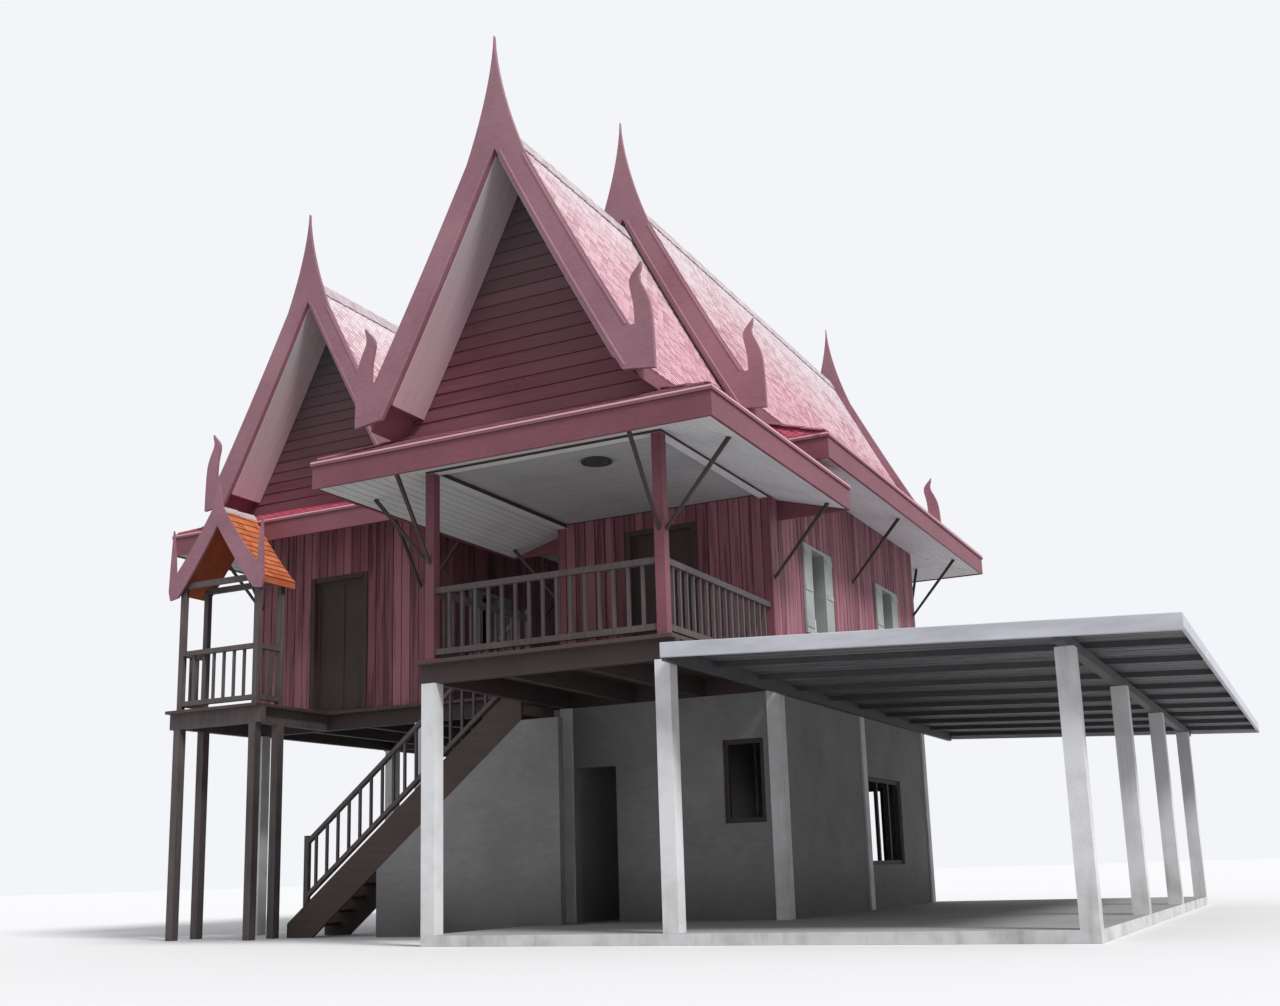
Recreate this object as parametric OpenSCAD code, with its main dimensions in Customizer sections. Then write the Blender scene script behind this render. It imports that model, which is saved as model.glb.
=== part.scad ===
/* [Plan] */
// Distance between post centres across one house
house_w = 3000; // [2700:50:3400]
// Depth of the open front porch between post centres
porch_l = 3200; // [2800:50:3800]
// Length of one room bay between post centres
bay_l = 3300; // [3000:50:3900]
// Distance between the centre lines of the two houses
house_pitch = 5400; // [5200:50:6200]

/* [Levels] */
// Thickness of the ground slab
slab_t = 120; // [80:10:200]
// Height of the concrete posts' tops above the ground
post_top = 2940; // [2600:20:3300]
// Depth of the floor beams
beam_d = 220; // [160:10:280]
// Thickness of the floor boards
deck_t = 40; // [25:5:60]
// Height of the porch eave above the floor
porch_eave = 2340; // [2200:20:2600]
// Height of the room eaves above the porch eave
tier_step = 520; // [460:10:600]

/* [Posts and walls] */
// Side of a concrete post
post_w = 180; // [150:5:240]
// Side of a timber post
stud_w = 120; // [90:5:150]
// Thickness of the boarded upper walls
board_wall_t = 120; // [90:5:150]
// Thickness of the rendered ground walls
ground_wall_t = 120; // [100:5:160]
// Depth of the wall plates on the rooms' posts
plate_d = 180; // [120:10:240]
// Depth of the plates on the porch posts
porch_plate_d = 60; // [40:5:120]

/* [Roof] */
// Reach of the eaves beyond the side posts
eave_side = 1070; // [1000:10:1100]
// Reach of the front eaves beyond the end posts
eave_end = 950; // [850:10:1000]
// Reach of the room roof's front eave past the room's front posts, over the porch roof
tier_end = 475; // [440:5:600]
// Reach of the rear eaves beyond the end posts
eave_rear = 1250; // [1100:10:1300]
// Rise from the eave to the ridge
ridge_rise = 3710; // [3300:10:4000]
// Half width of the steep slopes at their foot
foot_half = 1735; // [1700:5:1760]
// Height of the steep slopes' foot above the eave
foot_rise = 420; // [390:10:430]
// Hollow of the steep slopes at mid height
slope_sag = 60; // [0:5:120]
// Upright thickness of the steep slopes
slope_t = 170; // [150:5:200]
// Run of the low skirt roof at the sides
skirt_run = 930; // [880:10:950]
// Rise of the low skirt roof
skirt_rise = 320; // [310:10:350]
// Thickness of the skirt roof
skirt_t = 50; // [40:5:90]
// Depth of the eave boards below the eave edge
fascia_d = 320; // [260:10:360]
// Overhang of the steep slopes past the front gables
verge_front = 640; // [500:10:700]
// Overhang of the steep slopes past the rear gables
verge_rear = 450; // [350:10:600]
// Upright depth of the boxed overhangs below the roof face
verge_d = 420; // [400:10:480]
// Height of the boxed overhangs' feet above the eave
verge_foot = 530; // [500:10:560]

/* [Gable boards] */
// Thickness of the gable boards
barge_t = 50; // [35:5:70]
// Upright reach of a gable board above the roof face
barge_up = 270; // [200:10:320]
// Upright reach of a gable board below the roof face
barge_down = 380; // [340:10:440]
// Height of the spires' tips above the eave
spire_rise = 4770; // [4500:10:5000]
// Height of the hooks' tips above the eave
hook_rise = 1520; // [1300:10:1700]

/* [Openings] */
// Width of an upper window
window_w = 600; // [500:10:800]
// Height of an upper window
window_h = 1250; // [1000:10:1300]
// Height of an upper window's sill above the floor
window_sill = 640; // [500:10:800]
// Width of an upper doorway
door_w = 900; // [800:10:1000]
// Height of an upper doorway
door_h = 2000; // [1900:10:2100]
// Width of the ground doorway
low_door_w = 600; // [560:10:700]
// Height of the ground doorway above the slab
low_door_h = 2010; // [1900:10:2200]

/* [Railings and stair] */
// Height of the railings above the floor
rail_h = 870; // [800:10:1000]
// Side of a railing's rails
rail_w = 70; // [50:5:90]
// Side of a baluster
baluster_w = 35; // [25:5:45]
// Greatest spacing of the balusters
baluster_pitch = 190; // [150:5:230]
// Number of steps of the stair
stair_steps = 18; // [16:1:20]
// Going of one step
stair_going = 221; // [210:1:250]
// Width of the stair between its outer faces
stair_w = 850; // [800:10:900]
// Thickness of a tread
tread_t = 40; // [30:5:50]

/* [Car shelter] */
// Distance of the shelter's posts from the house's right posts
shelter_x = 4120; // [3600:10:4500]
// Height of the shelter's long beam above the ground
shelter_h = 2765; // [2500:5:2780]
// Fall of the shelter roof from the house to its outer edge
shelter_fall = 240; // [180:10:300]
// Length of the shelter between its end posts
shelter_l = 10400; // [9800:50:11000]
// Number of shelter bays along the house
shelter_bays = 3; // [2:1:4]

/* [Hidden] */
$fn = 48;

// The plan starts at the front left post; the part is placed with its middle on the origin
half_w = house_w / 2;
axis_x = half_w;
seat = 0.3;
wing_x = axis_x - house_pitch;
house_l = porch_l + 2 * bay_l;
room_rows = [porch_l, porch_l + bay_l, house_l];
floor_z = post_top + beam_d + deck_t;
porch_z = floor_z + porch_eave;
room_z = porch_z + tier_step;
eave_half = half_w + eave_side;
stud_out = stud_w / 2;
plate_half = half_w + stud_out;

// Height of the soffit at the eave board and at the plates, below the eave
soffit_low = 280;
soffit_high = 20;
soffit_t = 20;
fascia_t = 35;
fascia_in = 20;
gable_t = 60;
skirt_lip = 70;
slope_pieces = 10;
porch_skirt_past = 300;
porch_skirt_end = porch_l + porch_skirt_past;

// Half widths and heights of a steep slope's outer face, above the eave
function slope_z(h) =
    let (u = h / foot_half)
    ridge_rise - (ridge_rise - foot_rise) * u - 4 * slope_sag * u * (1 - u);
function slope_face(drop) =
    [for (i = [-slope_pieces : slope_pieces])
        let (h = foot_half * i / slope_pieces) [h, slope_z(abs(h)) - drop]];
function reversed(list) = [for (i = [len(list) - 1 : -1 : 0]) list[i]];
function mirrored(list) = [for (p = reversed(list)) [-p[0], p[1]]];

// A flat outline in X and Z, carried from y0 to y1
module along_y(y0, y1) {
    translate([0, y1, 0]) rotate([90, 0, 0]) linear_extrude(height = y1 - y0) children();
}
// A flat outline in Y and Z, carried from x0 to x1
module along_x(x0, x1) {
    translate([x0, 0, 0]) rotate([90, 0, 90]) linear_extrude(height = x1 - x0) children();
}
module at_plan() {
    translate([-(wing_x - eave_half + shelter_x1) / 2,
               (eave_end - max(house_l + eave_rear, shelter_y1)) / 2, 0]) children();
}
module block(x0, x1, y0, y1, z0, z1) {
    translate([x0, y0, z0]) cube([x1 - x0, y1 - y0, z1 - z0]);
}

// A hipped solid about x = 0: upright below z, sloping in above it to z + rise
module hipped(half, y0, y1, z, depth, rise, run_x, run_y0, run_y1) {
    intersection() {
        along_y(y0 - 1, y1 + 1) polygon([
            [-half, z - depth], [half, z - depth], [half, z],
            [half - run_x, z + rise], [run_x - half, z + rise], [-half, z]]);
        along_x(-half - 1, half + 1) polygon([
            [y0, z - depth], [y1, z - depth], [y1, z],
            [y1 - run_y1, z + rise], [y0 + run_y0, z + rise], [y0, z]]);
    }
}

// Roofs: each tier is given by its end post lines, its eave height and its open rear end. A
// room's front eave reaches out past its posts, and its gable stands the same on each room.
function gable_y0(y0) = y0 - eave_end + skirt_end_run;
function front_run(out) = skirt_end_run - eave_end + out;
function gable_y1(y1) = y1 + eave_rear - skirt_end_run;
skirt_end_run = 700;

// The two steep slopes meet at the ridge and stand on the skirt. Past the gables, from y0 to
// g0 and from g1 to y1, they are boxed in below, down to a level foot.
module slope_pair(y0, y1, g0, g1) {
    for (s = [0, 1]) mirror([s, 0, 0]) {
        intersection() {
            along_y(y0, y1) polygon(concat(slope_face(0), reversed(slope_face(slope_t))));
            block(seat / 2, foot_half + 1, y0 - 1, y1 + 1, 0, ridge_rise + 1);
        }
        for (span = [[y0, g0], [g1, y1]]) if (span[1] > span[0]) intersection() {
            along_y(span[0], span[1])
                polygon(concat(slope_face(slope_t / 2), reversed(slope_face(verge_d))));
            block(seat / 2, foot_half, span[0] - 1, span[1] + 1, verge_foot, ridge_rise);
        }
    }
}
module skirt_solid(y0, y1, run0, drop, depth) {
    translate([0, 0, -drop])
        hipped(eave_half, y0, y1, 0, depth, skirt_rise, skirt_run, run0, skirt_end_run);
}
// A ring between two plan outlines, cut at its mitres into four panels a seat apart
module mitred(half, y0, y1, in_half, in_y0, in_y1) {
    g = seat / 2;
    for (s = [0, 1]) mirror([s, 0, 0]) intersection() {
        children();
        translate([0, 0, -floor_z]) linear_extrude(height = 2 * floor_z)
            polygon([[half + 1, y0 + g], [half + 1, y1 - g], [in_half, in_y1 - g],
                     [in_half, in_y0 + g]]);
    }
    intersection() {
        children();
        translate([0, 0, -floor_z]) linear_extrude(height = 2 * floor_z)
            polygon([[-half + g, y0 - 1], [half - g, y0 - 1], [in_half - g, in_y0],
                     [-in_half + g, in_y0]]);
    }
    intersection() {
        children();
        translate([0, 0, -floor_z]) linear_extrude(height = 2 * floor_z)
            polygon([[-half + g, y1 + 1], [half - g, y1 + 1], [in_half - g, in_y1],
                     [-in_half + g, in_y1]]);
    }
}
skirt_in = eave_half - skirt_run - skirt_lip;
module room_skirt(y0, y1, out) {
    e0 = y0 - out;
    e1 = y1 + eave_rear;
    mitred(eave_half, e0, e1, skirt_in, gable_y0(y0) + skirt_lip, gable_y1(y1) - skirt_lip)
        difference() {
            skirt_solid(e0, e1, front_run(out), 0, skirt_t);
            skirt_solid(e0, e1, front_run(out), skirt_t, fascia_d);
            block(-skirt_in, skirt_in, gable_y0(y0) + skirt_lip, gable_y1(y1) - skirt_lip,
                  -fascia_d, skirt_rise + 1);
        }
}
module room_roof_shape(y0, y1, out) {
    difference() {
        slope_pair(gable_y0(y0) - verge_front, gable_y1(y1) + verge_rear, gable_y0(y0),
                   gable_y1(y1));
        skirt_solid(y0 - out, y1 + eave_rear, front_run(out), -seat, skirt_t);
    }
    room_skirt(y0, y1, out);
}
// Space under and inside the porch roof, from its front to the room gable
function skirt_z(h) = skirt_rise * (eave_half - h) / skirt_run;
module porch_envelope() {
    translate([axis_x, 0, porch_z])
        along_y(-eave_end - 1, gable_y0(porch_l))
            polygon(concat([
                [foot_half, skirt_z(foot_half)], [eave_half, 0], [eave_half, -fascia_d],
                [-eave_half, -fascia_d], [-eave_half, 0], [-foot_half, skirt_z(foot_half)]],
                slope_face(0)));
}
module porch_skirt_solid(drop, depth) {
    translate([0, 0, -drop]) hipped(eave_half, -eave_end, porch_skirt_end + drop, 0, depth,
                                    skirt_rise, skirt_run, skirt_end_run, 0);
}
module porch_roof_shape() {
    difference() {
        slope_pair(gable_y0(0) - verge_front, gable_y0(porch_l), gable_y0(0),
                   gable_y0(porch_l));
        porch_skirt_solid(-seat, skirt_t);
    }
    mitred(eave_half, -eave_end, 2 * porch_skirt_end, skirt_in, gable_y0(0) + skirt_lip,
           2 * porch_skirt_end - 1)
        difference() {
            porch_skirt_solid(0, skirt_t);
            porch_skirt_solid(skirt_t, fascia_d);
            block(-skirt_in, skirt_in, gable_y0(0) + skirt_lip, porch_skirt_end + 1,
                  -fascia_d, skirt_rise + 1);
        }
}
module porch_roof() {
    color("indianred") at_plan() translate([axis_x, 0, porch_z]) porch_roof_shape();
}
module main_roof() {
    color("indianred") at_plan() difference() {
        translate([axis_x, 0, room_z]) room_roof_shape(porch_l, house_l, tier_end);
        porch_envelope();
    }
}
module wing_roof() {
    color("indianred") at_plan() translate([wing_x, 0, room_z])
        room_roof_shape(porch_l, house_l, eave_end);
}

// Gable walls stand on the skirt's flat top, under the steep slopes
module gable_shape(y0) {
    intersection() {
        along_y(y0, y0 + gable_t)
            polygon(concat([[foot_half, 0], [-foot_half, 0]], slope_face(slope_t)));
        block(-foot_half, foot_half, y0 - 1, y0 + gable_t + 1, skirt_rise, ridge_rise);
    }
}
module gable_pair() {
    gable_shape(gable_y0(porch_l));
    gable_shape(gable_y1(house_l) - gable_t);
}
module house_gables() {
    color("brown") at_plan() {
        translate([axis_x, 0, porch_z]) gable_shape(gable_y0(0));
        translate([axis_x, 0, room_z]) gable_pair();
    }
}
module wing_gables() {
    color("brown") at_plan() translate([wing_x, 0, room_z]) gable_pair();
}

// Gable boards: one outline with a spire at the top and an upswept hook at each foot
spire_half = 380;
spire_power = 1.6;
spire_pieces = 10;
notch_in = 80;
notch_half = foot_half - notch_in;
barge_foot_in = 180;
barge_foot_half = foot_half - barge_foot_in;
hook_foot_out = 95;
hook_foot_x = foot_half + hook_foot_out;
hook_foot_down = 110;
hook_foot_z = foot_rise - hook_foot_down;
hook_pieces = 18;
hook_half_w = 105;
hook_taper = 4.5;
hook_belly = 85;
hook_bend = 4;
hook_lean = 25;
function barge_top(h) = slope_z(h) + barge_up;
spire_base = barge_top(spire_half);
spire_side = [for (i = [1 : spire_pieces])
    let (s = i / spire_pieces)
    [spire_half * pow(1 - s, spire_power), spire_base + (spire_rise - spire_base) * s]];
barge_outer = [for (i = [0 : slope_pieces])
    let (h = spire_half + (notch_half - spire_half) * i / slope_pieces) [h, barge_top(h)]];
function hook_mid(t) =
    hook_foot_x - hook_belly * pow(sin(180 * pow(t, hook_bend)), 2) - hook_lean * t;
function hook_w(t) = hook_half_w * (1 - pow(t, hook_taper));
function hook_z(t) = hook_foot_z + (hook_rise - hook_foot_z) * t;
hook_start = (barge_top(notch_half) - hook_foot_z) / (hook_rise - hook_foot_z);
hook_inner = [for (i = [0 : hook_pieces])
    let (t = hook_start + (1 - hook_start) * i / hook_pieces) [hook_mid(t) - hook_w(t), hook_z(t)]];
hook_outer = [for (i = [hook_pieces - 1 : -1 : 0])
    let (t = i / hook_pieces) [hook_mid(t) + hook_w(t), hook_z(t)]];
barge_inner = [for (i = [slope_pieces : -1 : 0])
    let (h = barge_foot_half * i / slope_pieces) [h, slope_z(h) - barge_down]];
barge_side = concat(reversed(spire_side), barge_outer, hook_inner, hook_outer, barge_inner);

module barge_shape(y0) {
    along_y(y0, y0 + barge_t) polygon(concat(barge_side, mirrored(
        [for (i = [1 : len(barge_side) - 2]) barge_side[i]])));
}
module barge_pair() {
    barge_shape(gable_y0(porch_l) - verge_front - barge_t);
    barge_shape(gable_y1(house_l) + verge_rear);
}
module porch_gable_boards() {
    color("maroon") at_plan() translate([axis_x, 0, porch_z])
        barge_shape(gable_y0(0) - verge_front - barge_t);
}
module main_gable_boards() {
    color("maroon") at_plan() translate([axis_x, 0, room_z]) barge_pair();
}
module wing_gable_boards() {
    color("maroon") at_plan() translate([wing_x, 0, room_z]) barge_pair();
}

// Eave boards hang from the skirts' underside, and soffits slope up from them to the walls
board_half = eave_half - fascia_in;
module fascia_sides(y0, y1) {
    for (s = [0, 1]) mirror([s, 0, 0])
        block(board_half - fascia_t, board_half, y0, y1, -fascia_d, skirt_rise);
}
module fascia_end(y) {
    block(-board_half + fascia_t + seat, board_half - fascia_t - seat, y, y + fascia_t,
          -fascia_d, skirt_rise);
}
module room_fascia(out) {
    e0 = porch_l - out;
    e1 = house_l + eave_rear;
    intersection() {
        union() {
            fascia_sides(e0 + fascia_in, e1 - fascia_in);
            fascia_end(e0 + fascia_in);
            fascia_end(e1 - fascia_in - fascia_t);
        }
        skirt_solid(e0, e1, front_run(out), skirt_t, fascia_d);
    }
}
module porch_fascia() {
    y1 = porch_skirt_end;
    intersection() {
        union() {
            fascia_sides(fascia_in - eave_end, y1);
            fascia_end(fascia_in - eave_end);
            for (s = [0, 1]) mirror([s, 0, 0])
                block(plate_half + seat, board_half - fascia_t - seat, y1 - fascia_t, y1,
                      -fascia_d, skirt_rise);
        }
        porch_skirt_solid(skirt_t, fascia_d);
    }
}
module eave_boards() {
    color("maroon") at_plan() {
        translate([axis_x, 0, porch_z]) porch_fascia();
        difference() {
            translate([axis_x, 0, room_z]) room_fascia(tier_end);
            porch_envelope();
        }
        translate([wing_x, 0, room_z]) room_fascia(eave_end);
    }
}
soffit_half = board_half - fascia_t;
soffit_run = soffit_half - plate_half;
function soffit_end(out) = out - fascia_in - fascia_t;
soffit_end_run = soffit_end(eave_end) - stud_out;
soffit_rear = eave_rear - fascia_in - fascia_t;
soffit_rear_run = soffit_rear - stud_out;
soffit_rise = soffit_low - soffit_high;
module soffit_sheet(y0, y1, run0, run1) {
    difference() {
        hipped(soffit_half, y0, y1, -soffit_low, soffit_t, soffit_rise, soffit_run, run0, run1);
        translate([0, 0, -soffit_t])
            hipped(soffit_half, y0, y1, -soffit_low, soffit_t, soffit_rise, soffit_run, run0,
                   run1);
    }
}
module room_soffit(out) {
    y0 = porch_l - stud_out;
    y1 = house_l + stud_out;
    e0 = porch_l - soffit_end(out);
    mitred(soffit_half, e0, house_l + soffit_rear, plate_half, y0, y1)
        difference() {
            soffit_sheet(e0, house_l + soffit_rear, y0 - e0, soffit_rear_run);
            block(-plate_half, plate_half, y0, y1, -floor_z, floor_z);
        }
}
module porch_soffit() {
    y1 = porch_skirt_end - fascia_t;
    mitred(soffit_half, -soffit_end(eave_end), 2 * y1, plate_half, -stud_out, 2 * y1 - 1)
        difference() {
            soffit_sheet(-soffit_end(eave_end), y1, soffit_end_run, 0);
            block(-plate_half, plate_half, -stud_out, y1 + 1, -floor_z, floor_z);
        }
}
module soffits() {
    color("gainsboro") at_plan() {
        translate([axis_x, 0, porch_z]) porch_soffit();
        difference() {
            translate([axis_x, 0, room_z]) room_soffit(tier_end);
            porch_envelope();
        }
        translate([wing_x, 0, room_z]) room_soffit(eave_end);
    }
}

// Ground slab, concrete posts and floor
shelter_post_x = house_w + shelter_x;
post_in = post_w / 2;
module ground_slab() {
    color("silver") at_plan() block(-post_in, shelter_post_x + post_in, -post_in,
                                    max(house_l, shelter_l) + post_in, 0, slab_t);
}
module post(x, y, z0, z1, w) {
    block(x - w / 2, x + w / 2, y - w / 2, y + w / 2, z0, z1);
}
wing_post_x = [wing_x - half_w, wing_x + half_w];
module concrete_posts() {
    color("whitesmoke") at_plan() {
        for (x = [0, house_w]) for (y = concat([0], room_rows))
            post(x, y, slab_t, post_top, post_w);
        for (x = wing_post_x) for (y = room_rows) post(x, y, 0, post_top, post_w);
    }
}
beam_w = 100;
deck_out = 150;
joists = 3;
floor_rows = concat([0], room_rows);
module joist_row(x0, y0, y1) {
    for (i = [0 : joists]) {
        x = x0 + house_w * i / joists;
        block(x - beam_w / 2, x + beam_w / 2, y0 + beam_w / 2 + seat, y1 - beam_w / 2 - seat,
              post_top, post_top + beam_d);
    }
}
module floor_beams() {
    color("saddlebrown") at_plan() {
        block(-deck_out, house_w + deck_out, -beam_w / 2, beam_w / 2, post_top,
              post_top + beam_d);
        for (y = room_rows)
            block(wing_post_x[0] - deck_out, house_w + deck_out, y - beam_w / 2,
                  y + beam_w / 2, post_top, post_top + beam_d);
        for (i = [1 : len(floor_rows) - 1]) joist_row(0, floor_rows[i - 1], floor_rows[i]);
        for (i = [1 : len(room_rows) - 1])
            joist_row(wing_post_x[0], room_rows[i - 1], room_rows[i]);
    }
}
deck_z = post_top + beam_d;
module house_floor() {
    color("sienna") at_plan() block(-deck_out, house_w + deck_out, -deck_out, house_l + deck_out,
                          deck_z, floor_z);
}
module link_floor() {
    color("sienna") at_plan() {
        block(wing_post_x[0] - deck_out, -deck_out, porch_l - deck_out, house_l + deck_out,
              deck_z, floor_z);
        block(gate_x0 - deck_out, gate_x1 + deck_out, gate_y - deck_out,
              porch_l - deck_out, deck_z, floor_z);
    }
}

// Rendered ground walls between the concrete posts
wall_in = ground_wall_t / 2;
low_door_x = 130;
front_window_w = 560;
front_window_in = 170;
front_window_x = house_w - front_window_in - front_window_w;
front_window_z = [1310, 2360];
side_window_w = 1700;
side_window_z = [750, 2030];
side_window_in = 150;
side_window_y = room_rows[1] + side_window_in + side_window_w / 2;
low_window_frame = 60;
module ground_front_wall() {
    color("lightgray") at_plan() difference() {
        block(post_in, house_w - post_in, porch_l - wall_in, porch_l + wall_in, slab_t, post_top);
        block(low_door_x, low_door_x + low_door_w, porch_l - wall_in - 1,
              porch_l + wall_in + 1, slab_t - 1, slab_t + low_door_h);
        block(front_window_x, front_window_x + front_window_w, porch_l - wall_in - 1,
              porch_l + wall_in + 1, front_window_z[0], front_window_z[1]);
    }
}
module ground_side_walls() {
    color("lightgray") at_plan() for (x = [0, house_w]) for (i = [0, 1]) difference() {
        block(x - wall_in, x + wall_in, room_rows[i] + post_in, room_rows[i + 1] - post_in,
              slab_t, post_top);
        if (i == 1) block(x - wall_in - 1, x + wall_in + 1, side_window_y - side_window_w / 2,
                          side_window_y + side_window_w / 2, side_window_z[0], side_window_z[1]);
    }
}
module ground_rear_wall() {
    color("lightgray") at_plan() difference() {
        block(post_in, house_w - post_in, house_l - wall_in, house_l + wall_in, slab_t, post_top);
        block(half_w - side_window_w / 2, half_w + side_window_w / 2, house_l - wall_in - 1,
              house_l + wall_in + 1, side_window_z[0], side_window_z[1]);
    }
}
// Window frames a seat inside their openings, with mullions in the wide ones
module window_frame(w, h, mullions) {
    difference() {
        translate([seat, seat]) square([w - 2 * seat, h - 2 * seat]);
        translate([low_window_frame, low_window_frame])
            square([w - 2 * low_window_frame, h - 2 * low_window_frame]);
    }
    for (i = [1 : 1 : mullions])
        translate([w * i / (mullions + 1) - low_window_frame / 2, low_window_frame])
            square([low_window_frame, h - 2 * low_window_frame]);
}
window_frame_t = 50;
module ground_windows() {
    side_h = side_window_z[1] - side_window_z[0];
    color("dimgray") at_plan() {
        translate([front_window_x, 0, front_window_z[0]])
            along_y(porch_l - window_frame_t / 2, porch_l + window_frame_t / 2)
                window_frame(front_window_w, front_window_z[1] - front_window_z[0], 0);
        translate([half_w - side_window_w / 2, 0, side_window_z[0]])
            along_y(house_l - window_frame_t / 2, house_l + window_frame_t / 2)
                window_frame(side_window_w, side_h, 2);
        for (x = [0, house_w])
            translate([0, side_window_y - side_window_w / 2, side_window_z[0]])
                along_x(x - window_frame_t / 2, x + window_frame_t / 2)
                    window_frame(side_window_w, side_h, 2);
    }
}

// The stair rises along X to the porch's left edge, over a rendered wall
stair_y1 = porch_l - deck_out;
stair_y0 = stair_y1 - stair_w;
stair_top_x = -deck_out;
riser = floor_z / stair_steps;
stair_string_t = 50;
stair_string_d = 300;
stair_wall_t = 120;
stair_wall_l = 2300;
stair_wall_in = 550;
function nosing_z(x) = floor_z + (x - stair_top_x) * riser / stair_going;
stair_foot_x = stair_top_x - stair_going * (stair_steps - 1);
function string_low(x) = nosing_z(x) - riser - stair_string_d;
string_lip = 60;
module stair_treads() {
    color("sienna") at_plan() for (i = [1 : stair_steps - 1])
        block(stair_top_x - stair_going * i, stair_top_x - stair_going * (i - 1),
              stair_y0 + stair_string_t, stair_y1 - stair_string_t,
              floor_z - riser * i - tread_t, floor_z - riser * i);
}
module stair_strings() {
    x_low = stair_foot_x - string_lip;
    x_cut = stair_top_x - string_low(stair_top_x) * stair_going / riser;
    color("saddlebrown") at_plan() for (y = [stair_y0, stair_y1 - stair_string_t])
        along_y(y, y + stair_string_t) polygon([
            [x_low, 0], [x_cut, 0], [stair_top_x, string_low(stair_top_x)],
            [stair_top_x, floor_z + string_lip], [x_low, nosing_z(x_low) + string_lip]]);
}
module stair_wall() {
    x0 = stair_top_x - stair_wall_l;
    x1 = stair_top_x + stair_wall_in;
    top = string_low(stair_top_x);
    color("lightgray") at_plan() along_y(stair_y0, stair_y0 + stair_wall_t) polygon([
        [x0, 0], [-post_in - seat, 0], [-post_in - seat, slab_t], [x1, slab_t], [x1, top],
        [stair_top_x, top], [x0, string_low(x0)]]);
}
newel_up = 90;
// A row of balusters between two rails, rising by slope along X from the origin
module railing(l, slope) {
    count = ceil(l / baluster_pitch);
    step = l / count;
    along_y(-rail_w / 2, rail_w / 2) polygon([
        [0, rail_h - rail_w], [l, rail_h - rail_w + slope * l], [l, rail_h + slope * l],
        [0, rail_h]]);
    along_y(-rail_w / 2, rail_w / 2) polygon([
        [0, rail_w], [l, rail_w + slope * l], [l, 2 * rail_w + slope * l], [0, 2 * rail_w]]);
    for (i = [1 : count - 1]) along_y(-baluster_w / 2, baluster_w / 2) polygon([
        [step * i - baluster_w / 2, 1.5 * rail_w + slope * step * i],
        [step * i + baluster_w / 2, 1.5 * rail_w + slope * step * i],
        [step * i + baluster_w / 2, rail_h - rail_w / 2 + slope * step * i],
        [step * i - baluster_w / 2, rail_h - rail_w / 2 + slope * step * i]]);
}
module stair_railing() {
    l = stair_going * (stair_steps - 2);
    x0 = stair_top_x - l;
    rise = riser / stair_going;
    y0 = stair_y0 + (stair_string_t - rail_w) / 2;
    color("saddlebrown") at_plan() {
        translate([x0, y0 + rail_w / 2, nosing_z(x0) + string_lip]) railing(l, rise);
        for (x = [x0, stair_top_x - rail_w]) along_y(y0, y0 + rail_w) polygon([
            [x, nosing_z(x) + string_lip], [x + rail_w, nosing_z(x + rail_w) + string_lip],
            [x + rail_w, nosing_z(x) + string_lip + rail_h + newel_up],
            [x, nosing_z(x) + string_lip + rail_h + newel_up]]);
    }
}
// Timber posts and wall plates above the floor
module upper_posts() {
    color("maroon") at_plan() {
        for (x = [0, house_w]) post(x, 0, floor_z, porch_z - soffit_high - porch_plate_d, stud_w);
        for (x = [0, house_w]) for (y = room_rows)
            post(x, y, floor_z, room_z - soffit_high - plate_d, stud_w);
        for (x = wing_post_x) for (y = room_rows)
            post(x, y, floor_z, room_z - soffit_high - plate_d, stud_w);
    }
}
module plate_sides(x, y0, y1, z, d) {
    for (i = [x, x + house_w]) block(i - stud_out, i + stud_out, y0, y1, z - d, z);
}
module plate_end(x, y, z, d) {
    block(x + stud_out + seat, x + house_w - stud_out - seat, y - stud_out, y + stud_out,
          z - d, z);
}
module wall_plates() {
    porch_top = porch_z - soffit_high;
    room_top = room_z - soffit_high;
    color("saddlebrown") at_plan() {
        plate_sides(0, -stud_out, porch_l - stud_out, porch_top, porch_plate_d);
        plate_end(0, 0, porch_top, porch_plate_d);
        for (x = [0, wing_post_x[0]]) {
            plate_sides(x, porch_l - stud_out, house_l + stud_out, room_top, plate_d);
            plate_end(x, porch_l, room_top, plate_d);
            plate_end(x, house_l, room_top, plate_d);
        }
    }
}
module porch_ceiling() {
    color("gainsboro") at_plan() block(-stud_out, house_w + stud_out, -stud_out, porch_l - stud_out,
                             porch_z - soffit_high, porch_z);
}
module porch_railing() {
    side_l = porch_l - stud_w;
    color("saddlebrown") at_plan() {
        translate([stud_out, 0, floor_z]) railing(house_w - stud_w, 0);
        translate([house_w, stud_out, floor_z]) rotate([0, 0, 90]) railing(side_l, 0);
        translate([0, stud_out, floor_z]) rotate([0, 0, 90])
            railing(stair_y0 - stud_out - rail_w, 0);
        post(0, stair_y0 - rail_w / 2, floor_z, floor_z + rail_h + newel_up, rail_w);
    }
}

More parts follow.
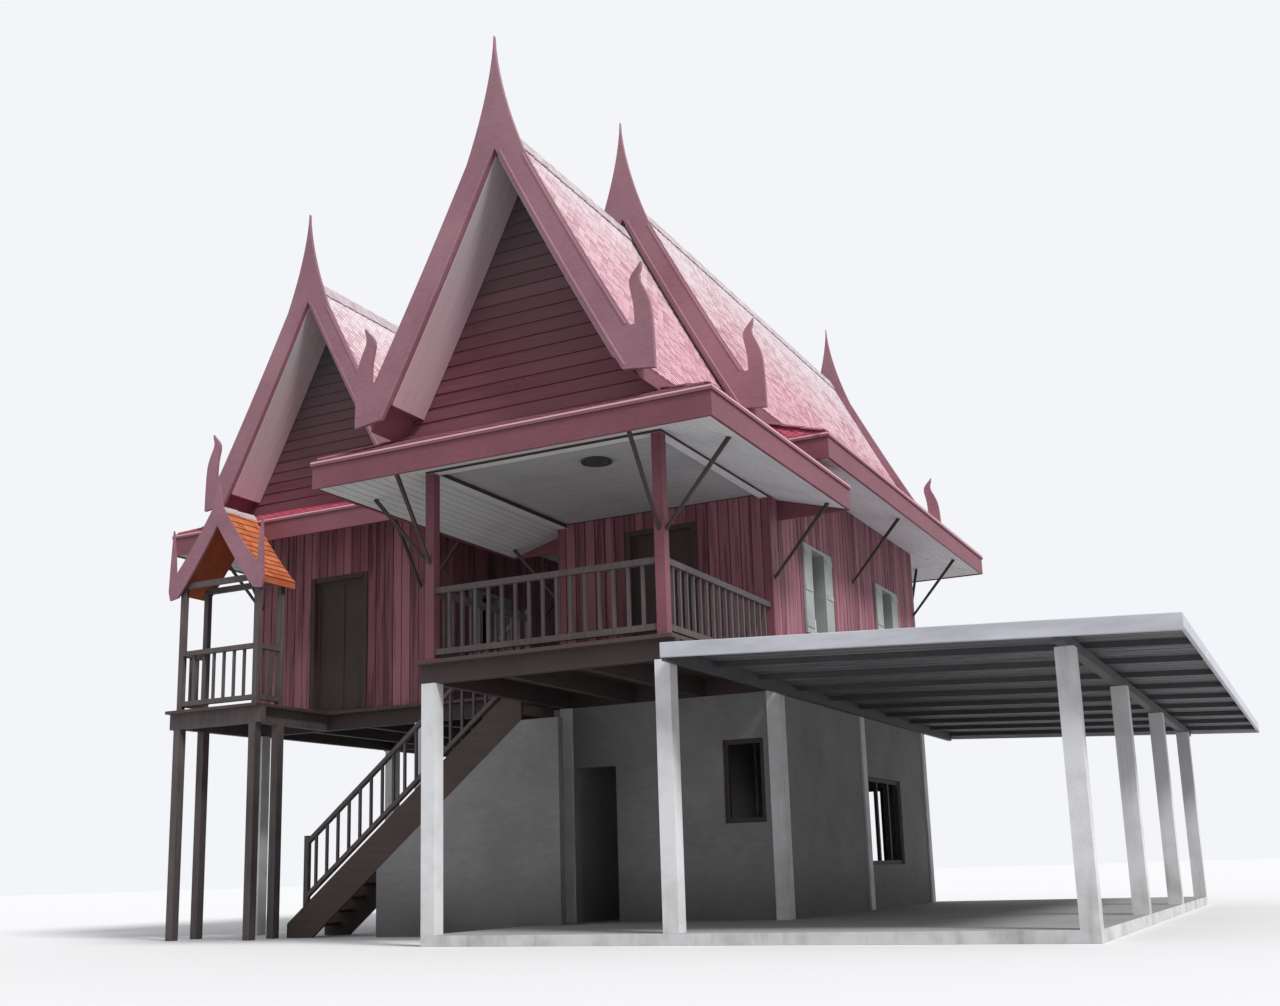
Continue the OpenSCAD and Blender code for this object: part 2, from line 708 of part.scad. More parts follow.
// Boarded upper walls between the timber posts
board_in = board_wall_t / 2;
wall_top = room_z - soffit_high - plate_d;
module side_wall(x) {
    for (i = [0, 1]) {
        mid = (room_rows[i] + room_rows[i + 1]) / 2;
        difference() {
            block(x - board_in, x + board_in, room_rows[i] + stud_out,
                  room_rows[i + 1] - stud_out, floor_z, wall_top);
            block(x - board_in - 1, x + board_in + 1, mid - window_w / 2, mid + window_w / 2,
                  floor_z + window_sill, floor_z + window_sill + window_h);
        }
    }
}
module front_wall_shape(x0) {
    difference() {
        block(x0 + stud_out, x0 + house_w - stud_out, porch_l - board_in, porch_l + board_in,
              floor_z, wall_top);
        block(x0 + half_w - door_w / 2, x0 + half_w + door_w / 2, porch_l - board_in - 1,
              porch_l + board_in + 1, floor_z - 1, floor_z + door_h);
    }
}
module rear_wall_shape(x0) {
    difference() {
        block(x0 + stud_out, x0 + house_w - stud_out, house_l - board_in, house_l + board_in,
              floor_z, wall_top);
        block(x0 + half_w - window_w / 2, x0 + half_w + window_w / 2, house_l - board_in - 1,
              house_l + board_in + 1, floor_z + window_sill, floor_z + window_sill + window_h);
    }
}
module front_wall() { color("brown") at_plan() front_wall_shape(0); }
module right_wall() { color("brown") at_plan() side_wall(house_w); }
module left_wall() { color("brown") at_plan() side_wall(0); }
module rear_wall() { color("brown") at_plan() rear_wall_shape(0); }
module wing_front_wall() { color("brown") at_plan() front_wall_shape(wing_post_x[0]); }
module wing_right_wall() { color("brown") at_plan() side_wall(wing_post_x[1]); }
module wing_left_wall() { color("brown") at_plan() side_wall(wing_post_x[0]); }
module wing_rear_wall() { color("brown") at_plan() rear_wall_shape(wing_post_x[0]); }

// Each upper window has a lining that stands out past the cladding, and two leaves folded back
lining_w = 45;
clad_t = 20;
shutter_t = 30;
shutter_gap = 20;
shutter_w = window_w / 2 - shutter_gap;
module each_window() {
    z = floor_z + window_sill;
    for (x = [wing_post_x[0], 0]) {
        for (i = [0, 1]) {
            y = (room_rows[i] + room_rows[i + 1]) / 2;
            translate([x, y, z]) rotate([0, 0, -90]) children();
            translate([x + house_w, y, z]) rotate([0, 0, 90]) children();
        }
        translate([x + half_w, house_l, z]) rotate([0, 0, 180]) children();
    }
}
module window_linings() {
    color("tan") at_plan() each_window() along_y(-board_in - clad_t - shutter_t, board_in)
        difference() {
            translate([-window_w / 2, 0]) square([window_w, window_h]);
            translate([-window_w / 2 + lining_w, lining_w])
                square([window_w - 2 * lining_w, window_h - 2 * lining_w]);
        }
}
module window_shutters() {
    color("tan") at_plan() each_window() for (s = [0, 1]) mirror([s, 0, 0])
        block(window_w / 2 + seat, window_w / 2 + seat + shutter_w,
              -board_in - clad_t - shutter_t, -board_in - clad_t, 0, window_h);
}
// Closed double doors: framed leaves with sunk panels
door_frame = 60;
door_t = 40;
door_panel_t = 16;
module upper_doors() {
    color("saddlebrown") at_plan() for (x = [0, wing_post_x[0]]) for (s = [0, 1])
        translate([x + half_w, porch_l, floor_z]) mirror([s, 0, 0]) {
            along_y(-door_t / 2, door_t / 2) difference() {
                translate([seat / 2, 0]) square([door_w / 2 - seat / 2, door_h]);
                translate([door_frame, door_frame])
                    square([door_w / 2 - 2 * door_frame, door_h - 2 * door_frame]);
            }
            along_y(-door_panel_t / 2, door_panel_t / 2) translate([door_frame, door_frame])
                square([door_w / 2 - 2 * door_frame, door_h - 2 * door_frame]);
        }
}

// Sloping struts from the posts to the soffits
bracket_w = 36;
bracket_drop = 1190;
bracket_deep = 46;
bracket_reach = 810;
bracket_end_reach = 680;
// Height of the soffit's underside at a distance from the plates, and the strut below it
function soffit_under(d, run) = -soffit_high - soffit_t - d * soffit_rise / run;
module bracket_shape(reach, run) {
    polygon([[0, -bracket_drop], [reach, soffit_under(reach, run)],
             [reach - bracket_deep, soffit_under(reach - bracket_deep, run)],
             [0, -bracket_drop + bracket_deep]]);
}
module bracket_row(x_mid, z, rows) {
    for (y = rows) for (s = [-1, 1]) translate([x_mid, 0, z]) mirror([s < 0 ? 1 : 0, 0, 0])
        translate([plate_half, 0, 0]) along_y(y - bracket_w / 2, y + bracket_w / 2)
            bracket_shape(bracket_reach, soffit_run);
}
module end_brackets(x_mid, z, y, dir, run) {
    for (s = [-1, 1]) translate([x_mid + s * half_w, y + dir * stud_out, z])
        mirror([0, dir < 0 ? 1 : 0, 0]) along_x(-bracket_w / 2, bracket_w / 2)
            bracket_shape(bracket_end_reach, run);
}
module eave_brackets() {
    color("saddlebrown") at_plan() {
        bracket_row(axis_x, porch_z, [0, porch_l]);
        bracket_row(axis_x, room_z, [room_rows[1], room_rows[2]]);
        bracket_row(wing_x, room_z, room_rows);
        end_brackets(axis_x, porch_z, 0, -1, soffit_end_run);
        end_brackets(axis_x, room_z, house_l, 1, soffit_rear_run);
        end_brackets(wing_x, room_z, house_l, 1, soffit_rear_run);
        end_brackets(wing_x, room_z, porch_l, -1, soffit_end_run);
    }
}

// A small gabled roof over the landing in front of the wing
gate_half = 700;
gate_x0 = wing_post_x[0] - deck_out;
gate_x1 = gate_x0 + 2 * gate_half;
gate_mid = gate_x0 + gate_half;
gate_l = 1550;
gate_y = porch_l - gate_l;
gate_roof_half = 830;
gate_roof_rise = 1130;
gate_roof_t = 90;
gate_sag = 50;
gate_foot_up = 1820;
gate_foot_z = floor_z + gate_foot_up;
gate_pieces = 6;
gate_verge = 100;
gate_board_t = 35;
gate_board_up = 110;
gate_board_down = 300;
gate_board_foot = 60;
gate_toe = 190;
gate_hook = [[-40, 460], [15, 860], [50, 300], [65, -60], [30, -gate_toe]];
gate_spire_rise = 1490;
gate_spire_half = 90;
gate_back = 150;
gate_tie_up = 60;
gate_tie_d = 80;
gate_newel = 80;
function gate_z(h) = let (u = h / gate_roof_half)
    gate_roof_rise * (1 - u) - 4 * gate_sag * u * (1 - u);
function gate_face(drop) = [for (i = [-gate_pieces : gate_pieces])
    let (h = gate_roof_half * i / gate_pieces) [h, gate_z(abs(h)) - drop]];
gate_roof_y0 = gate_y - gate_verge;
gate_roof_y1 = porch_l - eave_end + fascia_in - seat;
gate_back_y = gate_roof_y1 - gate_back;
module gate_roof() {
    color("chocolate") at_plan() translate([gate_mid, 0, gate_foot_z])
        for (s = [0, 1]) mirror([s, 0, 0]) intersection() {
            along_y(gate_roof_y0, gate_roof_y1)
                polygon(concat(gate_face(0), reversed(gate_face(gate_roof_t))));
            block(seat / 2, gate_roof_half, gate_roof_y0, gate_roof_y1, -gate_roof_t,
                  gate_roof_rise);
        }
}
gate_outer = [for (i = [0 : gate_pieces])
    let (h = gate_spire_half + (gate_roof_half - gate_board_foot - gate_spire_half) * i / gate_pieces)
    [h, gate_z(h) + gate_board_up]];
gate_inner = [for (i = [gate_pieces : -1 : 0])
    let (h = (gate_roof_half - 2 * gate_board_foot) * i / gate_pieces)
    [h, gate_z(h) - gate_board_down]];
gate_side = concat([[0, gate_spire_rise]], gate_outer,
                   [for (p = gate_hook) [gate_roof_half + p[0], p[1]]], gate_inner);
module gate_boards() {
    color("maroon") at_plan() translate([gate_mid, 0, gate_foot_z])
        along_y(gate_roof_y0 - gate_board_t, gate_roof_y0) polygon(concat(gate_side, mirrored(
            [for (i = [1 : len(gate_side) - 2]) gate_side[i]])));
}
gate_post_top = gate_foot_z + gate_z(gate_half + gate_newel / 2) - gate_roof_t;
module gate_frame() {
    tie_z = gate_foot_z + gate_tie_up;
    half = gate_newel / 2;
    color("maroon") at_plan() {
        block(gate_x0 - deck_out, gate_x1 + deck_out, gate_y - beam_w / 2,
              gate_y + beam_w / 2, post_top, deck_z);
        for (x = [gate_x0, gate_x1]) {
            block(x - beam_w / 2, x + beam_w / 2, gate_y + beam_w / 2 + seat,
                  porch_l - beam_w / 2 - seat, post_top, deck_z);
            translate([x, gate_y + half + seat, floor_z]) rotate([0, 0, 90])
                railing(gate_back_y - gate_y - 2 * (half + seat), 0);
        }
        for (y = [gate_y, gate_back_y]) {
            for (x = [gate_x0, gate_x1]) {
                post(x, y, 0, post_top - seat, stud_w);
                post(x, y, floor_z, gate_post_top, gate_newel);
            }
            block(gate_x0 + half + seat, gate_x1 - half - seat, y - gate_board_t,
                  y + gate_board_t, tie_z - gate_tie_d, tie_z);
        }
        translate([gate_x0 + half + seat, gate_y, floor_z])
            railing(2 * (gate_half - half - seat), 0);
    }
}

// Car shelter on its own row of concrete posts
shelter_out = 1080;
shelter_x0 = house_w + deck_out + seat;
shelter_x1 = shelter_post_x + shelter_out;
shelter_front = 450;
shelter_rear = 900;
shelter_y0 = -shelter_front;
shelter_y1 = shelter_l + shelter_rear;
shelter_sheet_t = 40;
shelter_beam = 100;
purlin_w = 60;
purlins = 9;
ledger_d = 150;
shelter_slope = shelter_fall / (shelter_x1 - shelter_x0);
function shelter_z(x) = shelter_h + purlin_w + (shelter_post_x - x) * shelter_slope;
shelter_band_d = 120;
shelter_edge_d = 90;
shelter_band_t = 40;
module shelter_posts() {
    color("whitesmoke") at_plan() for (i = [0 : shelter_bays])
        post(shelter_post_x, shelter_l * i / shelter_bays, slab_t, shelter_h - shelter_beam, post_w);
}
module shelter_beams() {
    y0 = shelter_y0 + shelter_band_t + seat;
    y1 = shelter_y1 - shelter_band_t - seat;
    x0 = shelter_x0 + purlin_w + seat;
    x1 = shelter_x1 - shelter_band_t - seat;
    beam_in = shelter_beam / 2;
    color("gray") at_plan() {
        block(shelter_post_x - beam_in, shelter_post_x + beam_in, y0, y1,
              shelter_h - shelter_beam, shelter_h - beam_in * shelter_slope);
        along_y(y0, y1) polygon([
            [shelter_x0, shelter_z(shelter_x0) - ledger_d],
            [shelter_x0 + purlin_w, shelter_z(shelter_x0) - ledger_d],
            [shelter_x0 + purlin_w, shelter_z(shelter_x0 + purlin_w)],
            [shelter_x0, shelter_z(shelter_x0)]]);
        for (i = [0 : purlins]) {
            y = y0 + (y1 - y0 - purlin_w) * i / purlins;
            along_y(y, y + purlin_w) polygon([
                [x0, shelter_z(x0) - purlin_w], [x1, shelter_z(x1) - purlin_w],
                [x1, shelter_z(x1)], [x0, shelter_z(x0)]]);
        }
    }
}
module shelter_roof() {
    color("lightgray") at_plan() {
        along_y(shelter_y0, shelter_y1) polygon([
            [shelter_x0, shelter_z(shelter_x0)], [shelter_x1, shelter_z(shelter_x1)],
            [shelter_x1, shelter_z(shelter_x1) + shelter_sheet_t],
            [shelter_x0, shelter_z(shelter_x0) + shelter_sheet_t]]);
        for (y = [shelter_y0, shelter_y1 - shelter_band_t])
            along_y(y, y + shelter_band_t) polygon([
                [shelter_x0, shelter_z(shelter_x0) - shelter_band_d - seat],
                [shelter_x1, shelter_z(shelter_x1) - shelter_band_d - seat],
                [shelter_x1, shelter_z(shelter_x1) - seat],
                [shelter_x0, shelter_z(shelter_x0) - seat]]);
        block(shelter_x1 - shelter_band_t, shelter_x1, shelter_y0 + shelter_band_t + seat,
              shelter_y1 - shelter_band_t - seat, shelter_z(shelter_x1) - shelter_edge_d,
              shelter_z(shelter_x1) - seat);
    }
}

ground_slab();
concrete_posts();
floor_beams();
house_floor();
link_floor();
ground_front_wall();
ground_side_walls();
ground_rear_wall();
ground_windows();
stair_wall();
stair_treads();
stair_strings();
stair_railing();
upper_posts();
wall_plates();
porch_railing();
front_wall();
right_wall();
left_wall();
rear_wall();
wing_front_wall();
wing_right_wall();
wing_left_wall();
wing_rear_wall();
window_linings();
window_shutters();
upper_doors();
porch_ceiling();
porch_roof();
main_roof();
wing_roof();
house_gables();
wing_gables();
porch_gable_boards();
main_gable_boards();
wing_gable_boards();
eave_boards();
soffits();
eave_brackets();
gate_roof();
gate_boards();
gate_frame();
shelter_posts();
shelter_beams();
shelter_roof();
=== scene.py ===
"""A raised Thai timber house: finishes, boards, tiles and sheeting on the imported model."""
import math

import bpy
import numpy as np
from mathutils import Matrix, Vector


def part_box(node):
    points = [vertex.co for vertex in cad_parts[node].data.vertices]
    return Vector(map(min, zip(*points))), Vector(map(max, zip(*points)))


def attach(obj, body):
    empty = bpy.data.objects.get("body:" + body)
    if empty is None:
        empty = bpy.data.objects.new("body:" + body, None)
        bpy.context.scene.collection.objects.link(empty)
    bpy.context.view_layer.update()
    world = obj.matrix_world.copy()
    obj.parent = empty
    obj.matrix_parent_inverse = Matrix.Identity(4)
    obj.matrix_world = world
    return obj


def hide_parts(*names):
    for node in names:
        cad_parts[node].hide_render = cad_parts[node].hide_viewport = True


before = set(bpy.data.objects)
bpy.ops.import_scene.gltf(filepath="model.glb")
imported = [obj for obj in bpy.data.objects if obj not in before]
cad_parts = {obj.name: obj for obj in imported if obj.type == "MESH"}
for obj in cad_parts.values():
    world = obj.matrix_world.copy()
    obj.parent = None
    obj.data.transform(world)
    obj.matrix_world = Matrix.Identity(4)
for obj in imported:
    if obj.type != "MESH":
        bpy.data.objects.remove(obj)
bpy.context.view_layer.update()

# The view is from the road in front of the house, low down and well to the porch's right.
# The lens and its upward shift are the ones that make the posts, eaves and ridges line up.
eye = (8.365, -18.305, 0.72)
yaw, pitch, roll = -0.46, 0.21, -0.03
photo_w, photo_h = 1280, 1006
focal_px, centre_y_px = 1378.6, 580

ahead = np.array([math.sin(yaw) * math.cos(pitch), math.cos(yaw) * math.cos(pitch),
                  math.sin(pitch)])
level = np.array([math.cos(yaw), -math.sin(yaw), 0.0])
above = np.cross(level, ahead)
side = level * math.cos(roll) + above * math.sin(roll)
top = above * math.cos(roll) - level * math.sin(roll)
lens = bpy.data.cameras.new("camera")
lens.sensor_fit = "HORIZONTAL"
lens.sensor_width = 36.0
lens.lens = lens.sensor_width * focal_px / photo_w
lens.shift_y = (centre_y_px - photo_h / 2) / photo_w
lens.clip_end = 400.0
camera = bpy.data.objects.new("camera", lens)
turn = Matrix(np.column_stack([side, top, -ahead]).tolist()).to_4x4()
camera.matrix_world = Matrix.Translation(eye) @ turn
bpy.context.scene.collection.objects.link(camera)
bpy.context.scene.camera = camera
bpy.context.scene.view_settings.view_transform = "Standard"


# The ground slab and the square posts are cast concrete, whitewashed where they face the
# road and stained by splashes near the ground. The slab's top is left grey.
class Wire:
    """A shader value: sums on it add Math nodes, and node() adds any other kind."""

    def __init__(self, tree, socket=None):
        self.tree = tree
        self.socket = socket

    def node(self, kind, settings=None, sockets=None, out=0):
        """Adds a node, sets its settings first, then its sockets' values or links."""
        made = self.tree.nodes.new(kind)
        for key, value in (settings or {}).items():
            setattr(made, key, value)
        for key, value in (sockets or {}).items():
            if isinstance(value, Wire):
                self.tree.links.new(value.socket, made.inputs[key])
            else:
                made.inputs[key].default_value = value
        return Wire(self.tree, made.outputs[out])

    def maths(self, operation, first, second=0.0):
        return self.node("ShaderNodeMath", {"operation": operation}, {0: first, 1: second})

    def __add__(self, other):
        return self.maths("ADD", self, other)

    def __radd__(self, other):
        return self.maths("ADD", other, self)

    def __sub__(self, other):
        return self.maths("SUBTRACT", self, other)

    def __rsub__(self, other):
        return self.maths("SUBTRACT", other, self)

    def __mul__(self, other):
        return self.maths("MULTIPLY", self, other)

    def __abs__(self):
        return self.maths("ABSOLUTE", self)


def place(w, axis):
    """One of the object's own coordinates, in metres."""
    spot = w.node("ShaderNodeTexCoord", None, None, "Object")
    return w.node("ShaderNodeSeparateXYZ", None, {"Vector": spot}, axis)


def noise(w, scale, detail=3.0, rough=0.55, stretch=(1.0, 1.0, 1.0)):
    """Noise in the object's own metres, drawn out along the axes with a small stretch."""
    spot = w.node("ShaderNodeTexCoord", None, None, "Object")
    spot = w.node("ShaderNodeMapping", None, {"Vector": spot, "Scale": stretch})
    return w.node("ShaderNodeTexNoise", None, {
        "Vector": spot, "Scale": scale, "Detail": detail, "Roughness": rough}, "Fac")


def ramp(value, low, high):
    """0 where the value is below low, 1 above high, and even in between."""
    return value.node("ShaderNodeMapRange", None, {
        "Value": value, "From Min": low, "From Max": high}, "Result")


def mixed(share, first, second):
    """A colour that goes from first to second as share goes from 0 to 1."""
    first, second = ((c if isinstance(c, Wire) else (*c, 1.0)) for c in (first, second))
    return share.node("ShaderNodeMix", {"data_type": "RGBA"},
                      {"Factor": share, 6: first, 7: second}, 2)


def relief(height, depth, strength):
    """A bump from a height, where 1 stands for depth in metres."""
    return height.node("ShaderNodeBump", None, {
        "Height": height, "Distance": depth, "Strength": strength}, "Normal")


def coat(colour, rough, bump):
    """The three sockets that most finishes set."""
    return {"Base Color": colour, "Roughness": rough, "Normal": bump}


def finish(name, recipe):
    """A material whose recipe returns the values or wires of the main shader's sockets."""
    made = bpy.data.materials.new(name)
    made.use_nodes = True
    tree = made.node_tree
    shader = tree.nodes["Principled BSDF"]
    for key, value in recipe(Wire(tree)).items():
        if isinstance(value, Wire):
            tree.links.new(value.socket, shader.inputs[key])
        else:
            shader.inputs[key].default_value = value
    return made


def dress(material, *names):
    """Gives a material to CAD nodes."""
    for name in names:
        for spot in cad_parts[name].material_slots:
            spot.material = material


wash_clean, wash_dirty = (0.76, 0.76, 0.77), (0.38, 0.365, 0.36)
cast_dark, cast_pale = (0.24, 0.235, 0.23), (0.40, 0.39, 0.38)
slab_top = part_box("ground_slab")[1][2]


def whitewash(w):
    """Pale paint over trowelled concrete, with grey runs and a splash-stained foot."""
    blotch = noise(w, 2.2, 5.0)
    runs = noise(w, 1.0, 4.0, stretch=(9.0, 9.0, 0.7))
    foot = 1.0 - ramp(place(w, "Z"), 0.1, 0.75)
    dirt = ramp(blotch, 0.45, 0.8) * 0.5 + ramp(runs, 0.55, 0.8) * 0.4 + foot * blotch * 0.7
    return coat(mixed(ramp(dirt, 0.0, 1.0), wash_clean, wash_dirty), 0.82 - blotch * 0.12,
                relief(noise(w, 55.0, 6.0), 0.004, 0.6))


def cast_floor(w):
    """The grey top of the slab, with pale dust and damp patches, and its washed edges."""
    blotch = noise(w, 0.7, 6.0)
    grit = noise(w, 90.0, 4.0)
    edge = whitewash(w)
    on_top = ramp(place(w, "Z"), slab_top - 0.002, slab_top - 0.0005)
    cast = mixed(blotch * 0.8 + grit * 0.2, cast_dark, cast_pale)
    return coat(mixed(on_top, edge["Base Color"], cast), 0.9 - blotch * 0.1,
                relief(grit, 0.003, 0.5))


dress(finish("whitewashed_concrete", whitewash), "concrete_posts", "shelter_posts")
dress(finish("cast_concrete", cast_floor), "ground_slab")

# The ground floor walls and the wall beside the stair are masonry with a trowelled grey
# render, darker and damp along the foot.
render_dark, render_pale = (0.19, 0.19, 0.19), (0.30, 0.295, 0.295)
render_damp = (0.09, 0.085, 0.08)


def render_coat(w):
    """Trowelled cement render with wide blotches and a damp foot."""
    blotch = noise(w, 1.1, 6.0)
    trowel = noise(w, 2.0, 5.0, stretch=(3.0, 3.0, 7.0))
    foot = 1.0 - ramp(place(w, "Z"), 0.1, 0.9)
    dry = mixed(ramp(blotch * 0.65 + trowel * 0.35, 0.3, 0.7), render_dark, render_pale)
    return coat(mixed(ramp(foot * blotch * 1.4, 0.0, 1.0), dry, render_damp), 0.88,
                relief(trowel * 0.7 + noise(w, 60.0) * 0.3, 0.006, 0.6))


dress(finish("grey_render", render_coat), "ground_front_wall", "ground_side_walls",
      "ground_rear_wall", "stair_wall")


# The beams, plates, struts, stair and ground window frames are sawn hardwood under a dark
# red-brown stain, worn thin along the grain. The railings are greyer.
def stained(dark, light, along):
    """Returns a recipe for stained timber whose grain runs along the named axis."""
    stretch = {"X": (0.5, 9.0, 9.0), "Y": (9.0, 0.5, 9.0), "Z": (9.0, 9.0, 0.5)}[along]

    def recipe(w):
        grain = noise(w, 3.0, 7.0, 0.62, stretch)
        wear = noise(w, 1.6, 4.0)
        return coat(mixed(ramp(grain * 0.6 + wear * 0.4, 0.32, 0.68), dark, light),
                    0.62 + grain * 0.2, relief(grain, 0.004, 0.7))
    return recipe


stain_dark, stain_light = (0.026, 0.016, 0.016), (0.062, 0.036, 0.037)
dark_timber = finish("stained_timber", stained(stain_dark, stain_light, "Y"))
dress(dark_timber, "floor_beams", "eave_brackets", "upper_doors", "ground_windows")
dress(finish("stair_timber", stained((0.032, 0.02, 0.018), (0.085, 0.055, 0.046), "X")),
      "stair_treads", "stair_strings")
dress(finish("railing_timber", stained((0.05, 0.038, 0.038), (0.13, 0.105, 0.105), "Z")),
      "porch_railing", "stair_railing", "gate_frame")

# The floors are wide hardwood boards, nailed across the joists with an open joint. They are
# scuffed pale along the way to the doors.
deck_dark, deck_pale = (0.045, 0.028, 0.025), (0.13, 0.085, 0.072)
deck_w, deck_joint, deck_rise, deck_bevel, deck_clear = 0.145, 0.006, 0.004, 0.002, 0.002
landing_w, landing_back = 1.7, 0.09


def piece(name, points, faces, material, slot, tone=None):
    """Puts arrays of points and faces in a mesh that rides on the building."""
    mesh = bpy.data.meshes.new(name)
    faces = faces if isinstance(faces, list) else faces.tolist()
    mesh.from_pydata(points.reshape(-1, 3).tolist(), [], faces)
    if tone is not None:
        mesh.attributes.new("tone", "FLOAT", "POINT").data.foreach_set("value", tone)
    mesh.materials.append(material)
    mesh.update()
    made = bpy.data.objects.new(name, mesh)
    bpy.context.scene.collection.objects.link(made)
    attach(made, "root")
    return made


def board_faces(count):
    """The faces of boards of 8 points each: their fronts, and four sides back from each."""
    rings = [[0, 1, 2, 3], [4, 5, 1, 0], [5, 6, 2, 1], [6, 7, 3, 2], [7, 4, 0, 3]]
    return np.concatenate([8 * np.arange(count)[:, None] + ring for ring in rings])


def slats(outline, depth, bevel):
    """Points and faces of flat boards from their outlines, (boards, 4 corners, 2), given
    anticlockwise. Each front is its outline set in by the bevel at height depth, and four
    sides go back from it to the outline at height 0."""
    front = outline - bevel * np.sign(outline - outline.mean(1, keepdims=True))
    lift = np.full_like(outline[..., :1], depth)
    points = np.concatenate([np.concatenate([front, lift], 2),
                             np.concatenate([outline, 0 * lift], 2)], 1)
    return points, board_faces(len(outline))


def squared(rows):
    """The outlines of upright boards, from rows of (low, high, bottom, top)."""
    low, high, bottom, top = np.array(rows, float).T
    return np.stack([np.stack([low, bottom], 1), np.stack([high, bottom], 1),
                     np.stack([high, top], 1), np.stack([low, top], 1)], 1)


rng = np.random.default_rng(7)


def nailed(name, outline, plane, depth, bevel, material, slot):
    """Boards on a plane, given by a point and its directions across, up and out."""
    origin, *ways = (np.array(v, float) for v in plane)
    points, faces = slats(outline, depth, bevel)
    if np.linalg.det(ways) < 0:
        faces = faces[:, ::-1]
    tone = np.repeat(rng.random(len(outline)), 8).astype(np.float32)
    return piece(name, origin + points @ np.array(ways), faces, material, slot, tone)


def own_tone(w):
    """The tone of each board or tile, from 0 to 1."""
    return w.node("ShaderNodeAttribute", {"attribute_name": "tone"}, None, "Fac")


def deck_boards(w):
    """Scuffed hardwood boards along Y, each with its own tone."""
    tone = own_tone(w)
    grain = noise(w, 3.0, 7.0, 0.62, (9.0, 0.5, 9.0))
    scuff = noise(w, 1.3, 5.0)
    return coat(mixed(ramp(tone * 0.35 + grain * 0.4 + scuff * 0.25, 0.25, 0.75),
                      deck_dark, deck_pale),
                0.58 + scuff * 0.2, relief(grain, 0.003, 0.6))


deck_finish = finish("deck_boards", deck_boards)
dress(deck_finish, "house_floor", "link_floor")
floor_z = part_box("house_floor")[1][2]
link_low, link_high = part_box("link_floor")
landing_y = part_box("front_wall")[0][1] - landing_back
decks = {"house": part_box("house_floor"),
         "link": ((link_low[0], landing_y), (link_high[0] - deck_clear, link_high[1])),
         "landing": (link_low, (link_low[0] + landing_w, landing_y - deck_clear))}
for word, (low, high) in decks.items():
    count = round((high[0] - low[0]) / deck_w)
    step = (high[0] - low[0]) / count
    left = low[0] + step * np.arange(count)
    rows = np.stack([left + deck_joint / 2, left + step - deck_joint / 2,
                     np.full(count, low[1] + deck_clear), np.full(count, high[1] - deck_clear)], 1)
    nailed(f"{word}_deck", squared(rows), ((0, 0, floor_z), (1, 0, 0), (0, 1, 0), (0, 0, 1)),
           deck_rise, deck_bevel, deck_finish, "floor_wood")

# The timber posts and eave boards are painted maroon in gloss. The gable boards above them
# stand in the sun, and have chalked paler.
gloss_dark, gloss_pale = (0.13, 0.032, 0.048), (0.235, 0.078, 0.105)
chalk_dark, chalk_pale = (0.21, 0.085, 0.115), (0.36, 0.185, 0.225)


def maroon_paint(dark, pale):
    """Returns a recipe for maroon gloss with brush marks and paler weathered clouds."""
    def recipe(w):
        clouds = noise(w, 0.9, 5.0)
        brush = noise(w, 2.5, 4.0, stretch=(4.0, 4.0, 14.0))
        return coat(mixed(ramp(clouds * 0.7 + brush * 0.3, 0.3, 0.72), dark, pale),
                    0.45 + clouds * 0.25, relief(brush, 0.002, 0.5))
    return recipe


maroon = finish("maroon_gloss", maroon_paint(gloss_dark, gloss_pale))
chalked = finish("chalked_maroon", maroon_paint(chalk_dark, chalk_pale))
dress(maroon, "upper_posts", "eave_boards")
dress(chalked, "porch_gable_boards", "main_gable_boards", "wing_gable_boards", "gate_boards")

# The upper rooms are clad in upright boards on studs, painted red-brown and faded. Each
# board is nailed a few millimetres from the next, and stops over and under the windows.
board_w, board_gap, board_t, board_bevel = 0.15, 0.010, 0.016, 0.004
board_dark, board_pale = (0.10, 0.027, 0.04), (0.33, 0.135, 0.165)
core_dark, core_pale = (0.05, 0.02, 0.022), (0.10, 0.042, 0.045)


def boarded(span, floor, ceiling, holes):
    """Rows (low, high, bottom, top) of the boards of one wall, cut at its holes.
    span and each hole's first pair are along the wall, in metres."""
    count = round((span[1] - span[0]) / board_w)
    step = (span[1] - span[0]) / count
    low = span[0] + step * np.arange(count) + board_gap / 2
    rows = np.stack([low, low + step - board_gap, np.full(count, floor),
                     np.full(count, ceiling)], 1)
    for (a, b), (c, d) in holes:
        hit = (rows[:, 1] > a) & (rows[:, 0] < b)
        below, over, left, right = (rows[hit].copy() for _ in range(4))
        below[:, 3] = c
        over[:, 2] = d
        left[:, 1] = np.minimum(left[:, 1], a)
        right[:, 0] = np.maximum(right[:, 0], b)
        for cut in (left, right):
            cut[:, 2], cut[:, 3] = c, d
        rows = np.concatenate([rows[~hit], below, over, left, right])
        rows = rows[np.minimum(rows[:, 1] - rows[:, 0], rows[:, 3] - rows[:, 2]) > 3 * board_bevel]
    return squared(rows)


def faded_boards(w):
    """Red-brown paint on sawn boards: each board has its own tone, streaked down its grain,
    with dark runs of old rain below the eaves."""
    tone = own_tone(w)
    grain = noise(w, 2.5, 6.0, stretch=(11.0, 11.0, 0.8))
    fade = noise(w, 0.8, 4.0)
    runs = ramp(noise(w, 2.0, 3.0, stretch=(7.0, 7.0, 0.35)), 0.5, 0.62)
    faded = ramp(tone * 0.45 + grain * 0.35 + fade * 0.2 - runs * 0.3, 0.12, 0.68)
    return coat(mixed(faded, board_dark, board_pale), 0.66 + grain * 0.2,
                relief(grain, 0.004, 0.8))


boards = finish("faded_boards", faded_boards)
wall_core = finish("wall_core", stained(core_dark, core_pale, "Z"))
walls = ["front_wall", "right_wall", "left_wall", "rear_wall"]
dress(wall_core, *walls, *["wing_" + name for name in walls])

